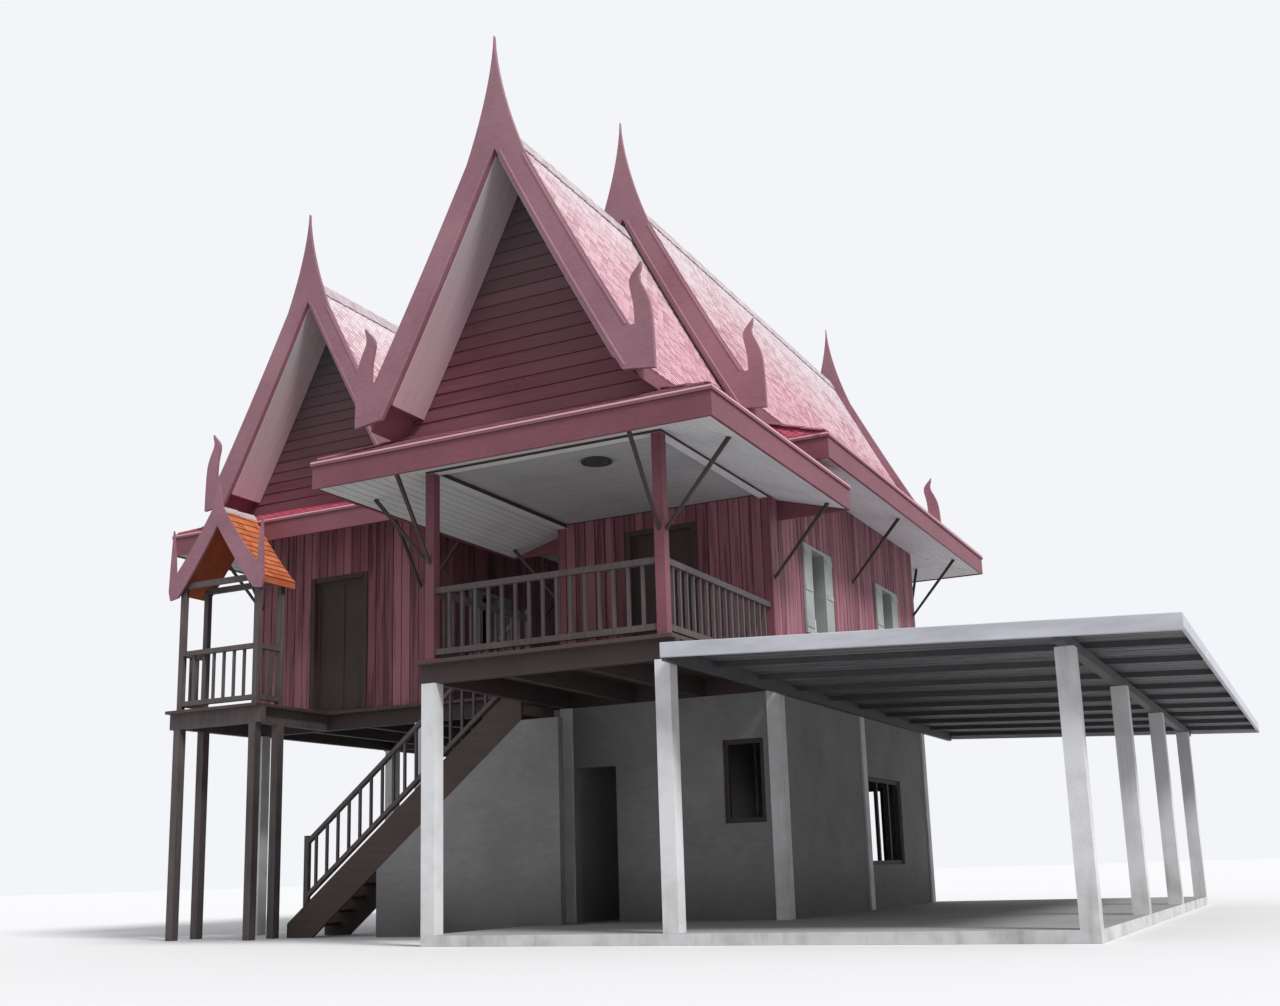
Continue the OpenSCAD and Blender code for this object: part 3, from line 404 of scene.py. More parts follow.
post_half = 0.06
corner_w, corner_t, hair = 0.10, 0.020, 0.001
window_half, door_half, door_top = 0.30, 0.45, 2.0
sill_up, head_up = 0.64, 1.89
soffit_clear, ceiling_clear = 0.028, 0.008
door_trim_w, door_trim_t, door_play = 0.08, 0.026, 0.002
plate_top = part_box("wall_plates")[1][2] - soffit_clear
ceiling_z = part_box("porch_ceiling")[0][2] - ceiling_clear
bottom = floor_z + board_gap
upper_windows = []
for house, prefix in (("house", ""), ("wing", "wing_")):
    x0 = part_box(prefix + "left_wall")[0][0]
    right_low, right_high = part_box(prefix + "right_wall")
    y0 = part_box(prefix + "front_wall")[0][1]
    y1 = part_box(prefix + "rear_wall")[1][1]
    y_mid = (right_low[1] + right_high[1]) / 2
    x1 = right_high[0]
    middle = (x0 + x1) / 2
    panes = [(right_low[1] - post_half + y_mid) / 2, (right_high[1] + post_half + y_mid) / 2]
    front_top = ceiling_z if house == "house" else plate_top
    for word, origin, out, (a, b), outer, top_z, mids in (
            ("right", (x1, 0, 0), (1, 0, 0), (y0, y1), corner_t, plate_top, panes),
            ("left", (x0, 0, 0), (-1, 0, 0), (y0, y1), corner_t, plate_top, panes),
            ("front", (0, y0, 0), (0, -1, 0), (x0, x1), -hair, front_top, []),
            ("rear", (0, y1, 0), (0, 1, 0), (x0, x1), -hair, plate_top, [middle])):
        plane = (origin, (abs(out[1]), abs(out[0]), 0), (0, 0, 1), out)
        left, right, head = middle - door_half, middle + door_half, floor_z + door_top
        holes = [((mid - window_half, mid + window_half), (floor_z + sill_up, floor_z + head_up))
                 for mid in mids] or [((left, right), (bottom, head))]
        nailed(f"{house}_{word}_boards",
               boarded((a + corner_w, b - corner_w), bottom, top_z, holes),
               plane, board_t, board_bevel, boards, "boards")
        nailed(f"{house}_{word}_corners",
               squared([[a - outer, a + corner_w, bottom, top_z],
                        [b - corner_w, b + outer, bottom, top_z]]),
               plane, min(corner_t, corner_t + outer), board_bevel, maroon, "trim")
        if not mids:
            nailed(f"{house}_door_trim",
                   squared([[left - door_trim_w, left, bottom, head + door_trim_w],
                            [right, right + door_trim_w, bottom, head + door_trim_w],
                            [left + door_play, right - door_play, head, head + door_trim_w]]),
                   plane, door_trim_t, board_bevel, dark_timber, "timber")
        upper_windows += [(f"{house}_{word}_{number}", mid, plane)
                          for number, mid in enumerate(mids)]

# The window linings and the shutters folded back beside them are painted pale grey-green.
# Each shutter leaf is upright boards held by three ledges.
pale_clean, pale_dirty = (0.34, 0.36, 0.34), (0.18, 0.185, 0.175)
leaf_w, leaf_out, leaf_gap, leaf_play = 0.28, 0.05, 0.004, 0.006
ledge_w, ledge_t, ledge_in, ledge_bevel = 0.07, 0.012, 0.08, 0.003


def pale_paint(w):
    """Thin pale paint that shows the grain and dirt in its corners."""
    grain = noise(w, 3.0, 5.0, stretch=(8.0, 8.0, 0.8))
    dirt = ramp(noise(w, 3.0, 4.0), 0.45, 0.8)
    return coat(mixed(dirt * 0.5 + grain * 0.25, pale_clean, pale_dirty), 0.6 + grain * 0.2,
                relief(grain, 0.002, 0.6))


pale = finish("pale_paint", pale_paint)
dress(pale, "window_linings", "window_shutters")
for word, mid, (origin, across, up, out) in upper_windows:
    face = tuple(np.array(origin) + leaf_out * np.array(out))
    sill, head = floor_z + sill_up, floor_z + head_up
    rows = [[mid + s * (window_half + leaf_gap) - (leaf_w - leaf_play) * (s < 0),
             mid + s * (window_half + leaf_gap) + (leaf_w - leaf_play) * (s > 0), z, z + ledge_w]
            for s in (-1, 1) for z in (sill + ledge_in, (sill + head - ledge_w) / 2,
                                       head - ledge_w - ledge_in)]
    nailed(f"{word}_ledges", squared(rows), (face, across, up, out), ledge_t, ledge_bevel, pale,
           "painted_wood")

# The porch ceiling and the soffits are narrow boards painted off-white, nailed from below
# with a fine open joint, and mitred at the corners of the eaves. The porch ceiling's boards
# take a greyer copy of the soffits' paint, which is painted shade.
# The first pair is the soffits' off-white, greyed down as painted shade for the porch ceiling.
shaded_ceiling_clean, shaded_ceiling_stain = (0.46, 0.455, 0.455), (0.32, 0.30, 0.295)
soffit_clean, soffit_stain = (0.72, 0.715, 0.71), (0.48, 0.46, 0.45)
joint_shade = (0.10, 0.095, 0.095)
strip_w, strip_joint, strip_t, strip_bevel = 0.10, 0.008, 0.006, 0.002
ceiling_in, ceiling_back = 0.12, 0.03


def ceiling_paint(clean, stained_by):
    """Returns a recipe for off-white paint with water stains, different on each board."""
    def recipe(w):
        tone = own_tone(w)
        stain = ramp(noise(w, 1.3, 5.0), 0.5, 0.85)
        return coat(mixed(stain * 0.6 + tone * 0.15, clean, stained_by), 0.7,
                    relief(noise(w, 40.0, 4.0), 0.001, 0.4))
    return recipe


shaded_ceiling_finish = finish("ceiling_boards", ceiling_paint(shaded_ceiling_clean, shaded_ceiling_stain))
soffit_finish = finish("soffit_boards", ceiling_paint(soffit_clean, soffit_stain))
dress(finish("ceiling_joints", stained(joint_shade, (0.15, 0.145, 0.14), "Y")),
      "soffits", "porch_ceiling")
low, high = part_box("porch_ceiling")
count = round((high[1] - low[1]) / strip_w)
edge = np.linspace(low[1], high[1] - ceiling_back, count + 1)
rows = np.stack([np.full(count, low[0] + ceiling_in), np.full(count, high[0] - ceiling_in),
                 edge[:-1] + strip_joint / 2, edge[1:] - strip_joint / 2], 1)
nailed("porch_ceiling_boards", squared(rows),
       ((0, 0, low[2]), (1, 0, 0), (0, 1, 0), (0, 0, -1)), strip_t, strip_bevel,
       shaded_ceiling_finish, "ceiling")

plate_half, soffit_run, soffit_rise, soffit_high, mitre = 1.56, 0.955, 0.26, 0.04, 0.004
rear_run, porch_half_here = 1.135, 1.76


class Tier:
    """One roof: its ridge line's x, its eave height and its ends along Y. front_run is how
    far the front skirt reaches out from the gable, and front_eave how far the soffit
    below it reaches out from the plate."""

    def __init__(self, node, boards_node, wall_y0, wall_y1, front_run, front_eave, hidden_end):
        low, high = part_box(node)
        barge_low, barge_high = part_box(boards_node)
        self.name = node.replace("_roof", "")
        self.axis = (low[0] + high[0]) / 2
        self.eave = high[2] - ridge_rise
        self.front = barge_low[1] + barge_t
        self.rear = high[1] if hidden_end else barge_high[1] - barge_t
        self.gable_front = self.front + verge_front
        self.front_run, self.front_eave = front_run, front_eave
        self.skirt_front, self.skirt_rear = self.gable_front - front_run, high[1]
        self.wall_y0, self.wall_y1 = wall_y0, wall_y1
        self.hidden_end = hidden_end

    def ends(self, front, rear):
        """What belongs to the front end, and to the rear one where that isn't hidden."""
        return [front] if self.hidden_end else [front, rear]


barge_t, verge_front = 0.05, 0.64
ridge_rise, foot_half, foot_rise, sag = 3.71, 1.735, 0.42, 0.06
skirt_out, eave_out, main_out, main_eave, porch_back = 0.70, 0.835, 0.225, 0.36, 0.036
house_y0, house_y1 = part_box("front_wall")[0][1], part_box("rear_wall")[1][1]
tiers = [Tier("porch_roof", "porch_gable_boards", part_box("upper_posts")[0][1],
              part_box("porch_roof")[1][1] - porch_back, skirt_out, eave_out, True),
         Tier("main_roof", "main_gable_boards", house_y0, house_y1, main_out, main_eave, False),
         Tier("wing_roof", "wing_gable_boards", house_y0, house_y1, skirt_out, eave_out, False)]


def soffit_strips(run, start, end):
    """Outlines (along, away) of boards side by side over run, each as long as from
    start to end, which are functions of the distance from the plate."""
    count = round(run / strip_w)
    near = run * np.arange(count) / count + strip_joint / 2
    away = near + run / count - strip_joint
    return np.stack([np.stack([start(near), near], 1), np.stack([end(near), near], 1),
                     np.stack([end(away), away], 1), np.stack([start(away), away], 1)], 1)


def soffit(name, outline, corner, along, away, run):
    """Strips on the slope that falls by soffit_rise over run, away from the plate at corner."""
    fall = soffit_rise / run
    tilt = math.hypot(1, fall)
    plane = (corner, along, (*away, -fall), (*(-a * fall / tilt for a in away), -1 / tilt))
    nailed(name, outline, plane, strip_t, strip_bevel, soffit_finish, "ceiling")


for tier in tiers:
    z = tier.eave - soffit_high

    def front_end(d):
        return tier.wall_y0 - d * tier.front_eave / soffit_run + mitre

    def rear_end(d):
        run = 0.0 if tier.hidden_end else rear_run
        return tier.wall_y1 + d * run / soffit_run - mitre

    for hand, word in ((-1, "left"), (1, "right")):
        soffit(f"{tier.name}_{word}_soffit", soffit_strips(soffit_run, front_end, rear_end),
               (tier.axis + hand * plate_half, 0, z), (0, 1, 0), (hand, 0), soffit_run)
    for word, way, at, run in tier.ends(("front", -1, tier.wall_y0, tier.front_eave),
                                        ("rear", 1, tier.wall_y1, rear_run)):
        def hip(d):
            return plate_half + d * soffit_run / run - mitre

        outline = soffit_strips(run, lambda d: -hip(d), hip)
        if tier.name == "main" and way < 0:
            outline = np.concatenate([
                soffit_strips(run, lambda d: porch_half_here + 0 * d,
                              lambda d: np.maximum(hip(d), porch_half_here + 0.01)),
                soffit_strips(run, lambda d: -np.maximum(hip(d), porch_half_here + 0.01),
                              lambda d: -porch_half_here + 0 * d)])
        soffit(f"{tier.name}_{word}_soffit", outline, (tier.axis, at, z), (1, 0, 0), (0, way),
               run)

# The wall plates are stained hardwood. Over the open porch their undersides were painted
# with the ceiling, so that only a dark line of each shows from below.
porch_plate_d, paint_edge = 0.06, 0.002
porch_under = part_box("porch_ceiling")[0][2] - porch_plate_d


def plate_timber(w):
    """Stained timber, with ceiling paint at the height of the porch plates' undersides."""
    timber = stained(stain_dark, stain_light, "Y")(w)
    painted = ceiling_paint(soffit_clean, soffit_stain)(w)
    bare = ramp(abs(place(w, "Z") - porch_under), paint_edge / 2, paint_edge)
    colour = mixed(bare, painted["Base Color"], timber["Base Color"])
    return {**timber, "Base Color": colour}


dress(finish("plate_timber", plate_timber), "wall_plates")

# A round dark lamp hangs under the middle of the porch ceiling: a pressed steel dish with a
# rolled rim.
lamp_x, lamp_y, lamp_sunk = 1.0, -4.5, 0.003
lamp_profile = np.array([[0.17, 0.0], [0.185, 0.012], [0.185, 0.03], [0.165, 0.034],
                         [0.145, 0.026], [0.11, 0.045], [0.06, 0.06], [0.02, 0.064]])
lamp_turns = 32


def turned(profile, turns):
    """Points and faces of a profile (radius, drop) turned about a vertical axis. The
    closing face at its last ring is flat."""
    angle = 2 * math.pi * np.arange(turns) / turns
    radius, drop = profile[:, 0, None], profile[:, 1, None]
    points = np.stack([radius * np.cos(angle), radius * np.sin(angle), -drop + 0 * angle], 2)
    ring, spoke = np.meshgrid(np.arange(len(profile) - 1), np.arange(turns), indexing="ij")
    after = (spoke + 1) % turns
    faces = np.stack([ring * turns + spoke, ring * turns + after, (ring + 1) * turns + after,
                      (ring + 1) * turns + spoke], -1).reshape(-1, 4)[:, ::-1].tolist()
    last = (len(profile) - 1) * turns
    return points.reshape(-1, 3), faces + [list(range(last + turns - 1, last - 1, -1))]


def steel(first, second, rough, metal, scale, detail, stretch=(1, 1, 1), low=0.0, high=1.0):
    """Returns a recipe for painted or coated steel. Where the noise of its dust goes from
    low to high, the first colour goes over into the second."""
    def recipe(w):
        dust = noise(w, scale, detail, stretch=stretch)
        return {"Base Color": mixed(ramp(dust, low, high), first, second),
                "Roughness": rough + dust * 0.2, "Metallic": metal}
    return recipe


points, faces = turned(lamp_profile, lamp_turns)
piece("porch_lamp", points + (lamp_x, lamp_y, ceiling_z + lamp_sunk), faces,
      finish("lamp_paint", steel((0.03, 0.03, 0.032), (0.09, 0.088, 0.085), 0.45, 0.3,
                                 12.0, 4.0)), "steel")

# The steep slopes carry small kite-shaped cement tiles hung on battens point down, each
# lapping the two below it. They have faded to pink, and to grey near the ridge.
tile_d = 0.075
tile_butt, tile_mid, tile_head = 0.016, 0.010, 0.001
tile_lap, tile_gap, flat_tile = 0.010, 0.0015, 1e-7
tile_stop, skirt_stop, least_w, least_h = 0.03, 0.05, 0.012, 0.004
tile_fresh, tile_faded, tile_grey = (0.42, 0.19, 0.235), (0.72, 0.45, 0.51), (0.74, 0.68, 0.69)


def hollow(h, rise=ridge_rise, foot=foot_rise, half=foot_half, dip=sag):
    """Height above the eave of a steep slope's face at half width h: a straight fall
    from ridge to foot, less a parabola that hollows it by dip at mid height."""
    u = h / half
    return rise - (rise - foot) * u - 4 * dip * u * (1 - u)


def steep(share, lift, rise=ridge_rise, foot=foot_rise, half=foot_half, dip=sag):
    """(half width, height) at a share of the slope from its foot, lifted off its face
    along the face's own normal."""
    h = half * (1 - share)
    fall = -(rise - foot) / half - 4 * dip * (1 - 2 * h / half) / half
    size = np.sqrt(1 + fall * fall)
    return h - lift * fall / size, hollow(h, rise, foot, half, dip) + lift / size


def tiled(name, skin, way, surface, rise, left, right):
    """A piece of kite tiles on surface(up, along, lift), in rows half a tile apart. up runs
    from 0 to rise, and left(up) and right(up) bound each row. Sides that the bounds cut
    down to nothing are dropped, and so are their points. way -1 turns the faces over."""
    rows = math.ceil(rise / tile_d) + 1
    columns = math.ceil((right(0.0) - left(0.0)) / (2 * tile_d)) + 2
    i, j = np.meshgrid(np.arange(rows) - 1, np.arange(columns), indexing="ij")
    i, j = i.ravel(), j.ravel()
    middle = left(0.0) + (2 * j - i % 2) * tile_d
    up = np.stack([i, i + 1, i + 2, i + 1, i, i + 1, i + 1], 1) * tile_d
    up[:, 2] += tile_lap
    half = tile_d - tile_gap
    along = middle[:, None] + np.array([0, half, 0, -half, 0, half, -half])
    lift = np.tile([tile_butt, tile_mid, tile_head, tile_mid, 0.0, 0.0, 0.0], (len(up), 1))
    up = np.clip(up, 0.0, rise)
    along = np.clip(along, left(up), right(up))
    keep = (np.ptp(along, axis=1) > least_w) & (np.ptp(up, axis=1) > least_h)
    up, along, lift = up[keep], along[keep], lift[keep]
    first = 7 * np.arange(len(up))[:, None]
    faces = np.concatenate([first + [0, 1, 2, 3], first + [4, 5, 1, 0], first + [6, 4, 0, 3]])
    tone = np.repeat(rng.random(len(up)), 7).astype(np.float32)
    points = surface(up, along, lift).reshape(-1, 3)
    a, b, c, d = (points[faces[:, k]] for k in range(4))
    faces = faces[np.linalg.norm(np.cross(c - a, d - b), axis=1) > flat_tile]
    used, inverse = np.unique(faces, return_inverse=True)
    piece(name, points[used], inverse.reshape(faces.shape)[:, ::way], skin, "tiles", tone[used])


def tile_fade(fresh, faded, grey):
    """Returns a recipe for tiles: each has its own tone, and lichen greys them upwards."""
    def recipe(w):
        tone = own_tone(w)
        clouds = noise(w, 0.8, 5.0)
        speck = noise(w, 26.0, 4.0)
        lichen = (place(w, "Z") - 8.3) * 0.45 + clouds * 1.2 + tone * 0.5 - 0.5
        body = mixed(ramp(tone * 0.6 + clouds * 0.6, 0.12, 0.75), fresh, faded)
        return coat(mixed(ramp(lichen, 0.0, 1.1), body, grey), 0.75 + speck * 0.15,
                    relief(speck, 0.004, 0.7))
    return recipe


pink_tiles = finish("faded_tiles", tile_fade(tile_fresh, tile_faded, tile_grey))
# The pale colour is a painted highlight along the eave, where the tile edges catch the light.
edge_dark, edge_pale, eave_highlight = (0.16, 0.05, 0.07), (0.27, 0.11, 0.14), (0.74, 0.47, 0.53)
highlight_d = 0.018


def roof_edge(eave):
    """Returns a recipe for the roof's raw edges: dull, with a pale line along the eave at that
    height that is a painted highlight, where the tiles' edges catch the light."""
    def recipe(w):
        cloud = noise(w, 2.0, 5.0)
        z = place(w, "Z")
        painted_highlight = ramp(z, eave - highlight_d, eave - highlight_d + 0.003) - ramp(z, eave + 0.01, eave + 0.02)
        return coat(mixed(painted_highlight * 0.9, mixed(cloud, edge_dark, edge_pale), eave_highlight), 0.8,
                    relief(cloud, 0.003, 0.5))
    return recipe


for tier in tiers:
    dress(finish(f"{tier.name}_roof_edge", roof_edge(tier.eave)), f"{tier.name}_roof")
tiers[0].rear = tiers[1].gable_front
slope_len = math.hypot(foot_half, ridge_rise - foot_rise) + 0.01

for tier in tiers:
    for way, hand in ((1, "right"), (-1, "left")):
        def steep_face(up, along, lift):
            h, z = steep(up / slope_len, lift)
            return np.stack([tier.axis + way * h, along, tier.eave + z], -1)

        tiled(f"{tier.name}_{hand}_slope_tiles", pink_tiles, way, steep_face,
              slope_len - tile_stop, lambda up: tier.front + 0 * up,
              lambda up: tier.rear + 0 * up)

# The low skirt roof round each tier has the same tiles. Those towards the road on the rooms
# are newer and red. The porch's, and those on the sides and at the rear, are a darker copy
# of them, which is painted shade.
skirt_half, skirt_run, skirt_rise, rear_skirt = 2.57, 0.93, 0.32, 0.70
skirt_in, porch_cover = 0.012, 1.45
red_tiles = finish("red_tiles", tile_fade((0.36, 0.05, 0.09), (0.50, 0.11, 0.17),
                                          (0.48, 0.16, 0.21)))
# A darker copy of the red tiles, which is painted shade.
dull_tiles = finish("dull_tiles", tile_fade((0.20, 0.06, 0.085), (0.30, 0.12, 0.15),
                                            (0.30, 0.16, 0.18)))
skirt_len = math.hypot(skirt_run, skirt_rise)

for tier in tiers:
    for way, hand in ((1, "right"), (-1, "left")):
        def skirt_face(up, along, lift):
            share = (up + skirt_in) / skirt_len
            h = skirt_half - skirt_run * share + lift * skirt_rise / skirt_len
            z = skirt_rise * share + lift * skirt_run / skirt_len
            return np.stack([tier.axis + way * h, along, tier.eave + z], -1)

        rear_hip = 0.0 if tier.hidden_end else rear_skirt
        tiled(f"{tier.name}_{hand}_skirt_tiles", dull_tiles, way, skirt_face,
              skirt_len - skirt_stop,
              lambda up: tier.skirt_front + tier.front_run * (up + skirt_in) / skirt_len,
              lambda up: tier.skirt_rear - rear_hip * (up + skirt_in) / skirt_len)
    for way, edge, run, word in tier.ends((-1, tier.skirt_front, tier.front_run, "front"),
                                          (1, tier.skirt_rear, rear_skirt, "rear")):
        end_len = math.hypot(run, skirt_rise)

        def end_face(up, along, lift):
            share = (up + skirt_in) / end_len
            y = edge - way * run * share + way * lift * skirt_rise / end_len
            z = skirt_rise * share + lift * run / end_len
            return np.stack([tier.axis + along, y, tier.eave + z], -1)

        def hip_line(up):
            return skirt_half - skirt_run * (up + skirt_in) / end_len

        sides = {word: (lambda up: -hip_line(up), hip_line)}
        if tier.name == "main" and way < 0:
            sides = {"front_left": (lambda up: -hip_line(up), lambda up: 0 * up - porch_cover),
                     "front_right": (lambda up: 0 * up + porch_cover, hip_line)}
        # The porch's front end and the rear ends take the darker tiles, which are painted shade.
        skin = dull_tiles if tier.name == "porch" or way > 0 else red_tiles
        for part, (left, right) in sides.items():
            tiled(f"{tier.name}_{part}_skirt_tiles", skin, -way, end_face,
                  end_len - tile_stop, left, right)

# Angled ridge tiles lie in mortar along each ridge, and small rounded ones down the hips of
# the skirts. Each laps the next.
ridge_w, ridge_soft, ridge_fall, ridge_up = 0.125, 0.02, 2.03, 0.034
hip_w, hip_up = 0.06, 0.032
cap_len, cap_t, cap_lap, cap_drop = 0.32, 0.012, 1.06, 0.012
hip_in, hip_share, hip_foot, hip_head = 0.07, 0.08, 0.02, 0.012


def lapped_caps(start, end, profile):
    """Points and faces of caps from start to end: a profile (across, over) carried along
    the line, full size at each cap's lower end and smaller where the next one laps it."""
    start, end = np.array(start), np.array(end)
    length = np.linalg.norm(end - start)
    count = max(1, round(length / cap_len))
    along = (end - start) / length
    across = np.cross(along, (0, 0, 1.0))
    across /= np.linalg.norm(across)
    over = np.cross(across, along)
    ring = profile[:, :1] * across + profile[:, 1:] * over
    share = (np.arange(count)[:, None] + np.array([0.0, cap_lap])) / count
    drop = np.array([0.0, -cap_drop])[:, None, None] * over
    points = start + (share * length)[..., None, None] * along + ring + drop
    n = len(profile)
    first = (2 * n * np.arange(count)[:, None] + np.arange(n - 1)).reshape(-1, 1)
    return points.reshape(-1, 3), first + np.array([0, n, n + 1, 1])


def joined(parts):
    """One array of points and one of faces from several."""
    offset = np.cumsum([0] + [len(points) for points, faces in parts[:-1]])
    return (np.concatenate([points for points, faces in parts]),
            np.concatenate([faces + start for (points, faces), start in zip(parts, offset)]))


def capped(name, runs, profile, skin, slot, tone=None):
    """A piece of caps along several lines, with a wall of their own thickness."""
    points, faces = joined([lapped_caps(start, end, profile) for start, end in runs])
    tone = None if tone is None else np.full(len(points), tone, np.float32)
    wall = piece(name, points, faces, skin, slot, tone).modifiers.new("wall", "SOLIDIFY")
    wall.thickness = cap_t
    wall.offset = -1


def mortar_caps(w):
    """Pale grey-pink cement caps, blotched with lichen."""
    blotch = noise(w, 6.0, 6.0)
    return coat(mixed(ramp(blotch, 0.35, 0.7), (0.58, 0.50, 0.52), (0.36, 0.30, 0.31)), 0.9,
                relief(noise(w, 60.0), 0.004, 0.6))


cap_finish = finish("mortar_caps", mortar_caps)
across = ridge_w * np.linspace(1, -1, 11)
ridge_profile = np.stack([across, ridge_up - ridge_fall * (
    np.sqrt(across ** 2 + ridge_soft ** 2) - ridge_soft)], 1)
angle = np.linspace(0.0, math.pi, 7)
hip_profile = np.stack([hip_w * np.cos(angle), hip_up * np.sin(angle) + 0.004], 1)
for tier in tiers:
    ridge_z = tier.eave + ridge_rise
    hips = [((tier.axis + hand * (skirt_half - hip_in), edge + hip_share * run,
              tier.eave + hip_foot),
             (tier.axis + hand * (skirt_half - skirt_run), edge + run,
              tier.eave + skirt_rise + hip_head))
            for edge, run in tier.ends((tier.skirt_front, tier.front_run),
                                       (tier.skirt_rear, -rear_skirt)) for hand in (-1, 1)]
    capped(f"{tier.name}_ridge_caps",
           [((tier.axis, tier.rear, ridge_z), (tier.axis, tier.front, ridge_z))],
           ridge_profile, cap_finish, "tiles", 0.5)
    # The hip caps take the same darker tiles, which are painted shade.
    capped(f"{tier.name}_hip_caps", hips, hip_profile, dull_tiles, "tiles", 0.5)

# Past the gables, the overhangs of the steep slopes are boxed in below with pale boards that
# run up the slope.
verge_pink, verge_grey = (0.60, 0.41, 0.46), (0.48, 0.47, 0.47)
verge_t, verge_w, verge_steps = 0.010, 0.155, 24
verge_d, verge_foot, verge_stop, verge_head, verge_joint = 0.42, 0.53, 0.024, 0.012, 0.006
slope_half = np.linspace(foot_half, 0.0, 200)


def shell(upper, lower):
    """Points and faces of a closed sheet between two grids of points of one size: both
    grids and the strip round their rims, turned outwards by the sign of their volume."""
    rows, columns = upper.shape[:2]
    total = rows * columns
    number = np.arange(total).reshape(rows, columns)
    grid = np.stack([number[:-1, :-1], number[1:, :-1], number[1:, 1:], number[:-1, 1:]],
                    -1).reshape(-1, 4)
    rim = np.concatenate([number[0], number[1:, -1], number[-1, -2::-1], number[-2:0:-1, 0]])
    after = np.roll(rim, -1)
    strip = np.stack([rim, after, after + total, rim + total], 1)
    points = np.concatenate([upper.reshape(-1, 3), lower.reshape(-1, 3)])
    return points, outward(points, np.concatenate([grid, grid[:, ::-1] + total, strip]))


def outward(points, faces):
    """The faces of a closed shell, all turned over if its volume comes out negative."""
    a, b, c, d = (points[faces[:, k]] - points.mean(0) for k in range(4))
    volume = (a * np.cross(b, c)).sum() + (a * np.cross(c, d)).sum()
    return faces if volume > 0 else faces[:, ::-1]


def verge_paint(w):
    """Grey-pink paint on boards up the slope, pinker towards the foot."""
    grain = noise(w, 3.0, 5.0, stretch=(6.0, 9.0, 1.0))
    fade = noise(w, 0.9, 4.0)
    up = ramp(place(w, "Z"), 6.6, 8.6)
    return coat(mixed(ramp(up * 0.8 + fade * 0.6 + grain * 0.3 - 0.45, 0.0, 1.0),
                      verge_pink, verge_grey), 0.7, relief(grain, 0.003, 0.6))


verge_finish = finish("verge_paint", verge_paint)


def verge_boards(tier, start, end, hand):
    """Boards under the overhang from y start to y end, as thin shells that follow it:
    their height is the slope's less the box's depth, at even steps of half width."""
    foot = np.interp(verge_foot + 0.01, hollow(slope_half) - verge_d, slope_half)
    h = np.linspace(verge_head, foot, verge_steps)
    z = tier.eave + hollow(h) - verge_d - hair
    count = max(1, round((end - start) / verge_w))
    edges = np.linspace(start, end, count + 1)
    parts = []
    for y0, y1 in zip(edges[:-1] + verge_joint / 2, edges[1:] - verge_joint / 2):
        upper = np.stack([np.stack([tier.axis + hand * h, y + 0 * h, z], 1) for y in (y0, y1)], 1)
        parts.append(shell(upper, upper - (0.0, 0.0, 2 * verge_t)))
    return joined(parts)


for tier in tiers:
    for end, y0, y1 in tier.ends(
            ("front", tier.front + hair, tier.gable_front - verge_stop),
            ("rear", tier.skirt_rear - rear_skirt + verge_stop, tier.rear - hair)):
        for hand, word in ((-1, "left"), (1, "right")):
            points, faces = verge_boards(tier, y0, y1, hand)
            piece(f"{tier.name}_{end}_{word}_verge", points, faces, verge_finish, "trim")

# The gables are closed with level lapped boards, painted like the walls but darker, which is
# painted shade, and greyer towards the top, which is painted shade under the overhang.
gable_board, gable_lip, gable_head, gable_joint = 0.16, 0.022, 0.008, 0.006
gable_foot, gable_top, gable_least = 0.005, 0.02, 0.05
slope_t = 0.17
gable_dark, gable_pale = (0.12, 0.032, 0.048), (0.225, 0.078, 0.105)
gable_shade_grey = (0.07, 0.06, 0.062)


def gable_paint(w):
    """Red-brown paint on level boards, darkened as painted shade, each with its own tone,
    and greyer upwards as painted shade under the overhang.
    """
    tone = own_tone(w)
    grain = noise(w, 2.5, 6.0, stretch=(0.8, 11.0, 11.0))
    cloud = noise(w, 0.7, 4.0)
    paint = mixed(ramp(tone * 0.4 + grain * 0.6, 0.2, 0.8), gable_dark, gable_pale)
    # Greyer towards the top: painted shade under the overhang.
    top_shade = ramp(place(w, "Z") + cloud * 1.6, 7.2, 9.4)
    return coat(mixed(top_shade, paint, gable_shade_grey), 0.65 + grain * 0.2, relief(grain, 0.004, 0.7))


gable_finish = finish("gable_boards", gable_paint)
dress(wall_core, "house_gables", "wing_gables")
for tier in tiers:
    for word, at, way in tier.ends(("front", tier.gable_front, -1),
                                   ("rear", tier.skirt_rear - rear_skirt, 1)):
        low = skirt_rise + gable_foot + gable_board * np.arange(20)
        high = low + gable_board - gable_joint
        top_z = hollow(slope_half)
        under = top_z - np.where(top_z - verge_d > verge_foot, verge_d, slope_t)
        high_half, low_half = (np.interp(z, under, slope_half) for z in (high, low))
        keep = (high_half > gable_least) & (high < under[-1] - gable_top)
        low, high, low_half, high_half = (a[keep] for a in (low, high, low_half, high_half))
        corners = [(-low_half, low, gable_lip), (low_half, low, gable_lip),
                   (high_half, high, gable_head), (-high_half, high, gable_head),
                   (-low_half, low, 0.0), (low_half, low, 0.0), (high_half, high, 0.0),
                   (-high_half, high, 0.0)]
        points = np.stack([np.stack([tier.axis + x, at + way * (y + 0 * x), tier.eave + z], 1)
                           for x, z, y in corners], 1)
        tone = np.repeat(rng.random(len(low)), 8).astype(np.float32)
        piece(f"{tier.name}_{word}_gable_boards", points, board_faces(len(low))[:, ::-way],
              gable_finish, "boards", tone)

# A half-round bead is planted along both edges of every gable board, on the side that is
# seen from outside.
barge_up, barge_down = 0.27, 0.38
bead_w, bead_t, bead_in, bead_back, bead_steps = 0.038, 0.0075, 0.018, 0.004, 28
upper_span, lower_span = (0.40, foot_half - 0.10), (0.03, foot_half - 0.19)


